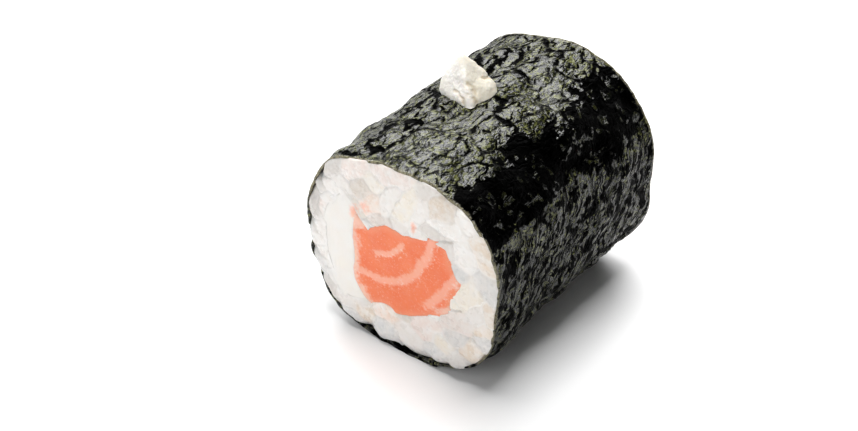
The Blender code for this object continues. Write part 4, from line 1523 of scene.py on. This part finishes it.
# %% Dab of cream cheese
deselect_all()
bpy.ops.mesh.primitive_ico_sphere_add(subdivisions=7, radius=1)
dab = bpy.context.object
dab.name = "cream_top"
aims = read_points(dab)
aims[:, 2] += AXIS_HEIGHT
aims /= np.linalg.norm(aims, axis=1)[:, None]
seen = aims @ np.array((DAB_ACROSS, DAB_UPWARD, DAB_TOWARDS)).T
reach = dab_reach(seen)
spots = aims * reach[:, None]
reach += layered_noise(spots, DAB_ROUGH)
drawn = seen[:, :2] * reach[:, None] + 0.15 * noise_pair(spots, 0.7, 93)
to_crease = np.min([distance_to_line(np.array(line), drawn) for line in DAB_CREASES], axis=0)
creases = np.exp(-(to_crease / CREASE_WIDTH) ** 2) * (seen[:, 2] > 0)
creases *= eased(0.8 + smooth_noise(spots, 0.6, 95))
reach -= CREASE_DEPTH * creases
points = (aims * reach[:, None] + DAB_MIDDLE) * MM
spot_angle = np.arctan2(points[:, 2], points[:, 0])
under = section_radius(spot_angle) + swell(spot_angle, points[:, 1]) + DAB_CLEARANCE
sunk = np.hypot(points[:, 0], points[:, 2]) < under
points[sunk, 0] = (under * np.cos(spot_angle))[sunk]
points[sunk, 2] = (under * np.sin(spot_angle))[sunk]
write_points(dab, points)
paint_points(dab, "crease", creases)
# Painted shade: the side turned to the right and the top is made darker and creamier.
paint_points(dab, "painted_side_shade", eased(0.5 + seen[:, 0] + 0.30 * seen[:, 1]))
print("dab:", len(points), "points,", int(sunk.sum()), "of them on the nori")

# %% Dab material
DAB_WHITE = (0.95, 0.925, 0.885)
DAB_CREAM_AND_SHADE = (0.72, 0.67, 0.55)
DAB_CRUMB_AND_CREASE_SHADE = (0.60, 0.48, 0.30)

dab_paint, tree, shader = new_material("cream_cheese_broken")
place = place_in_mm(tree)
cream_and_shade = use_group(tree, blotches, place, size=2.2, cover=0.5, softness=0.35)
# Painted shade on the right of the dab, added to cream blotches of its own colour.
painted_side_shade = map_range(tree, attribute(tree, "painted_side_shade"), 0, 1, 0.0, 0.7)
cream_and_shade = math_node(tree, "ADD", math_node(tree, "MULTIPLY", cream_and_shade, 0.3), painted_side_shade)
colour = mix_colour(tree, cream_and_shade, DAB_WHITE, DAB_CREAM_AND_SHADE)
crumbly = use_group(tree, blotches, place, size=0.22, cover=0.40, softness=0.25)
colour = tinted(tree, colour, DAB_CRUMB_AND_CREASE_SHADE, crumbly, 0.07)
# Painted shade: the creases are darkened towards tan; the crumbs above are the cheese's own colour.
colour = tinted(tree, colour, DAB_CRUMB_AND_CREASE_SHADE, attribute(tree, "crease"), 0.60)
light, gloss, crumbs = (0.25, (1.0, 0.8, 0.55), 0.5), (0.8, 0.40, 0.55), (0.25, 0.05)
moist_food(tree, shader, place, colour, light, gloss, crumbs)
finish_piece(dab, "cream_dab", dab_paint)
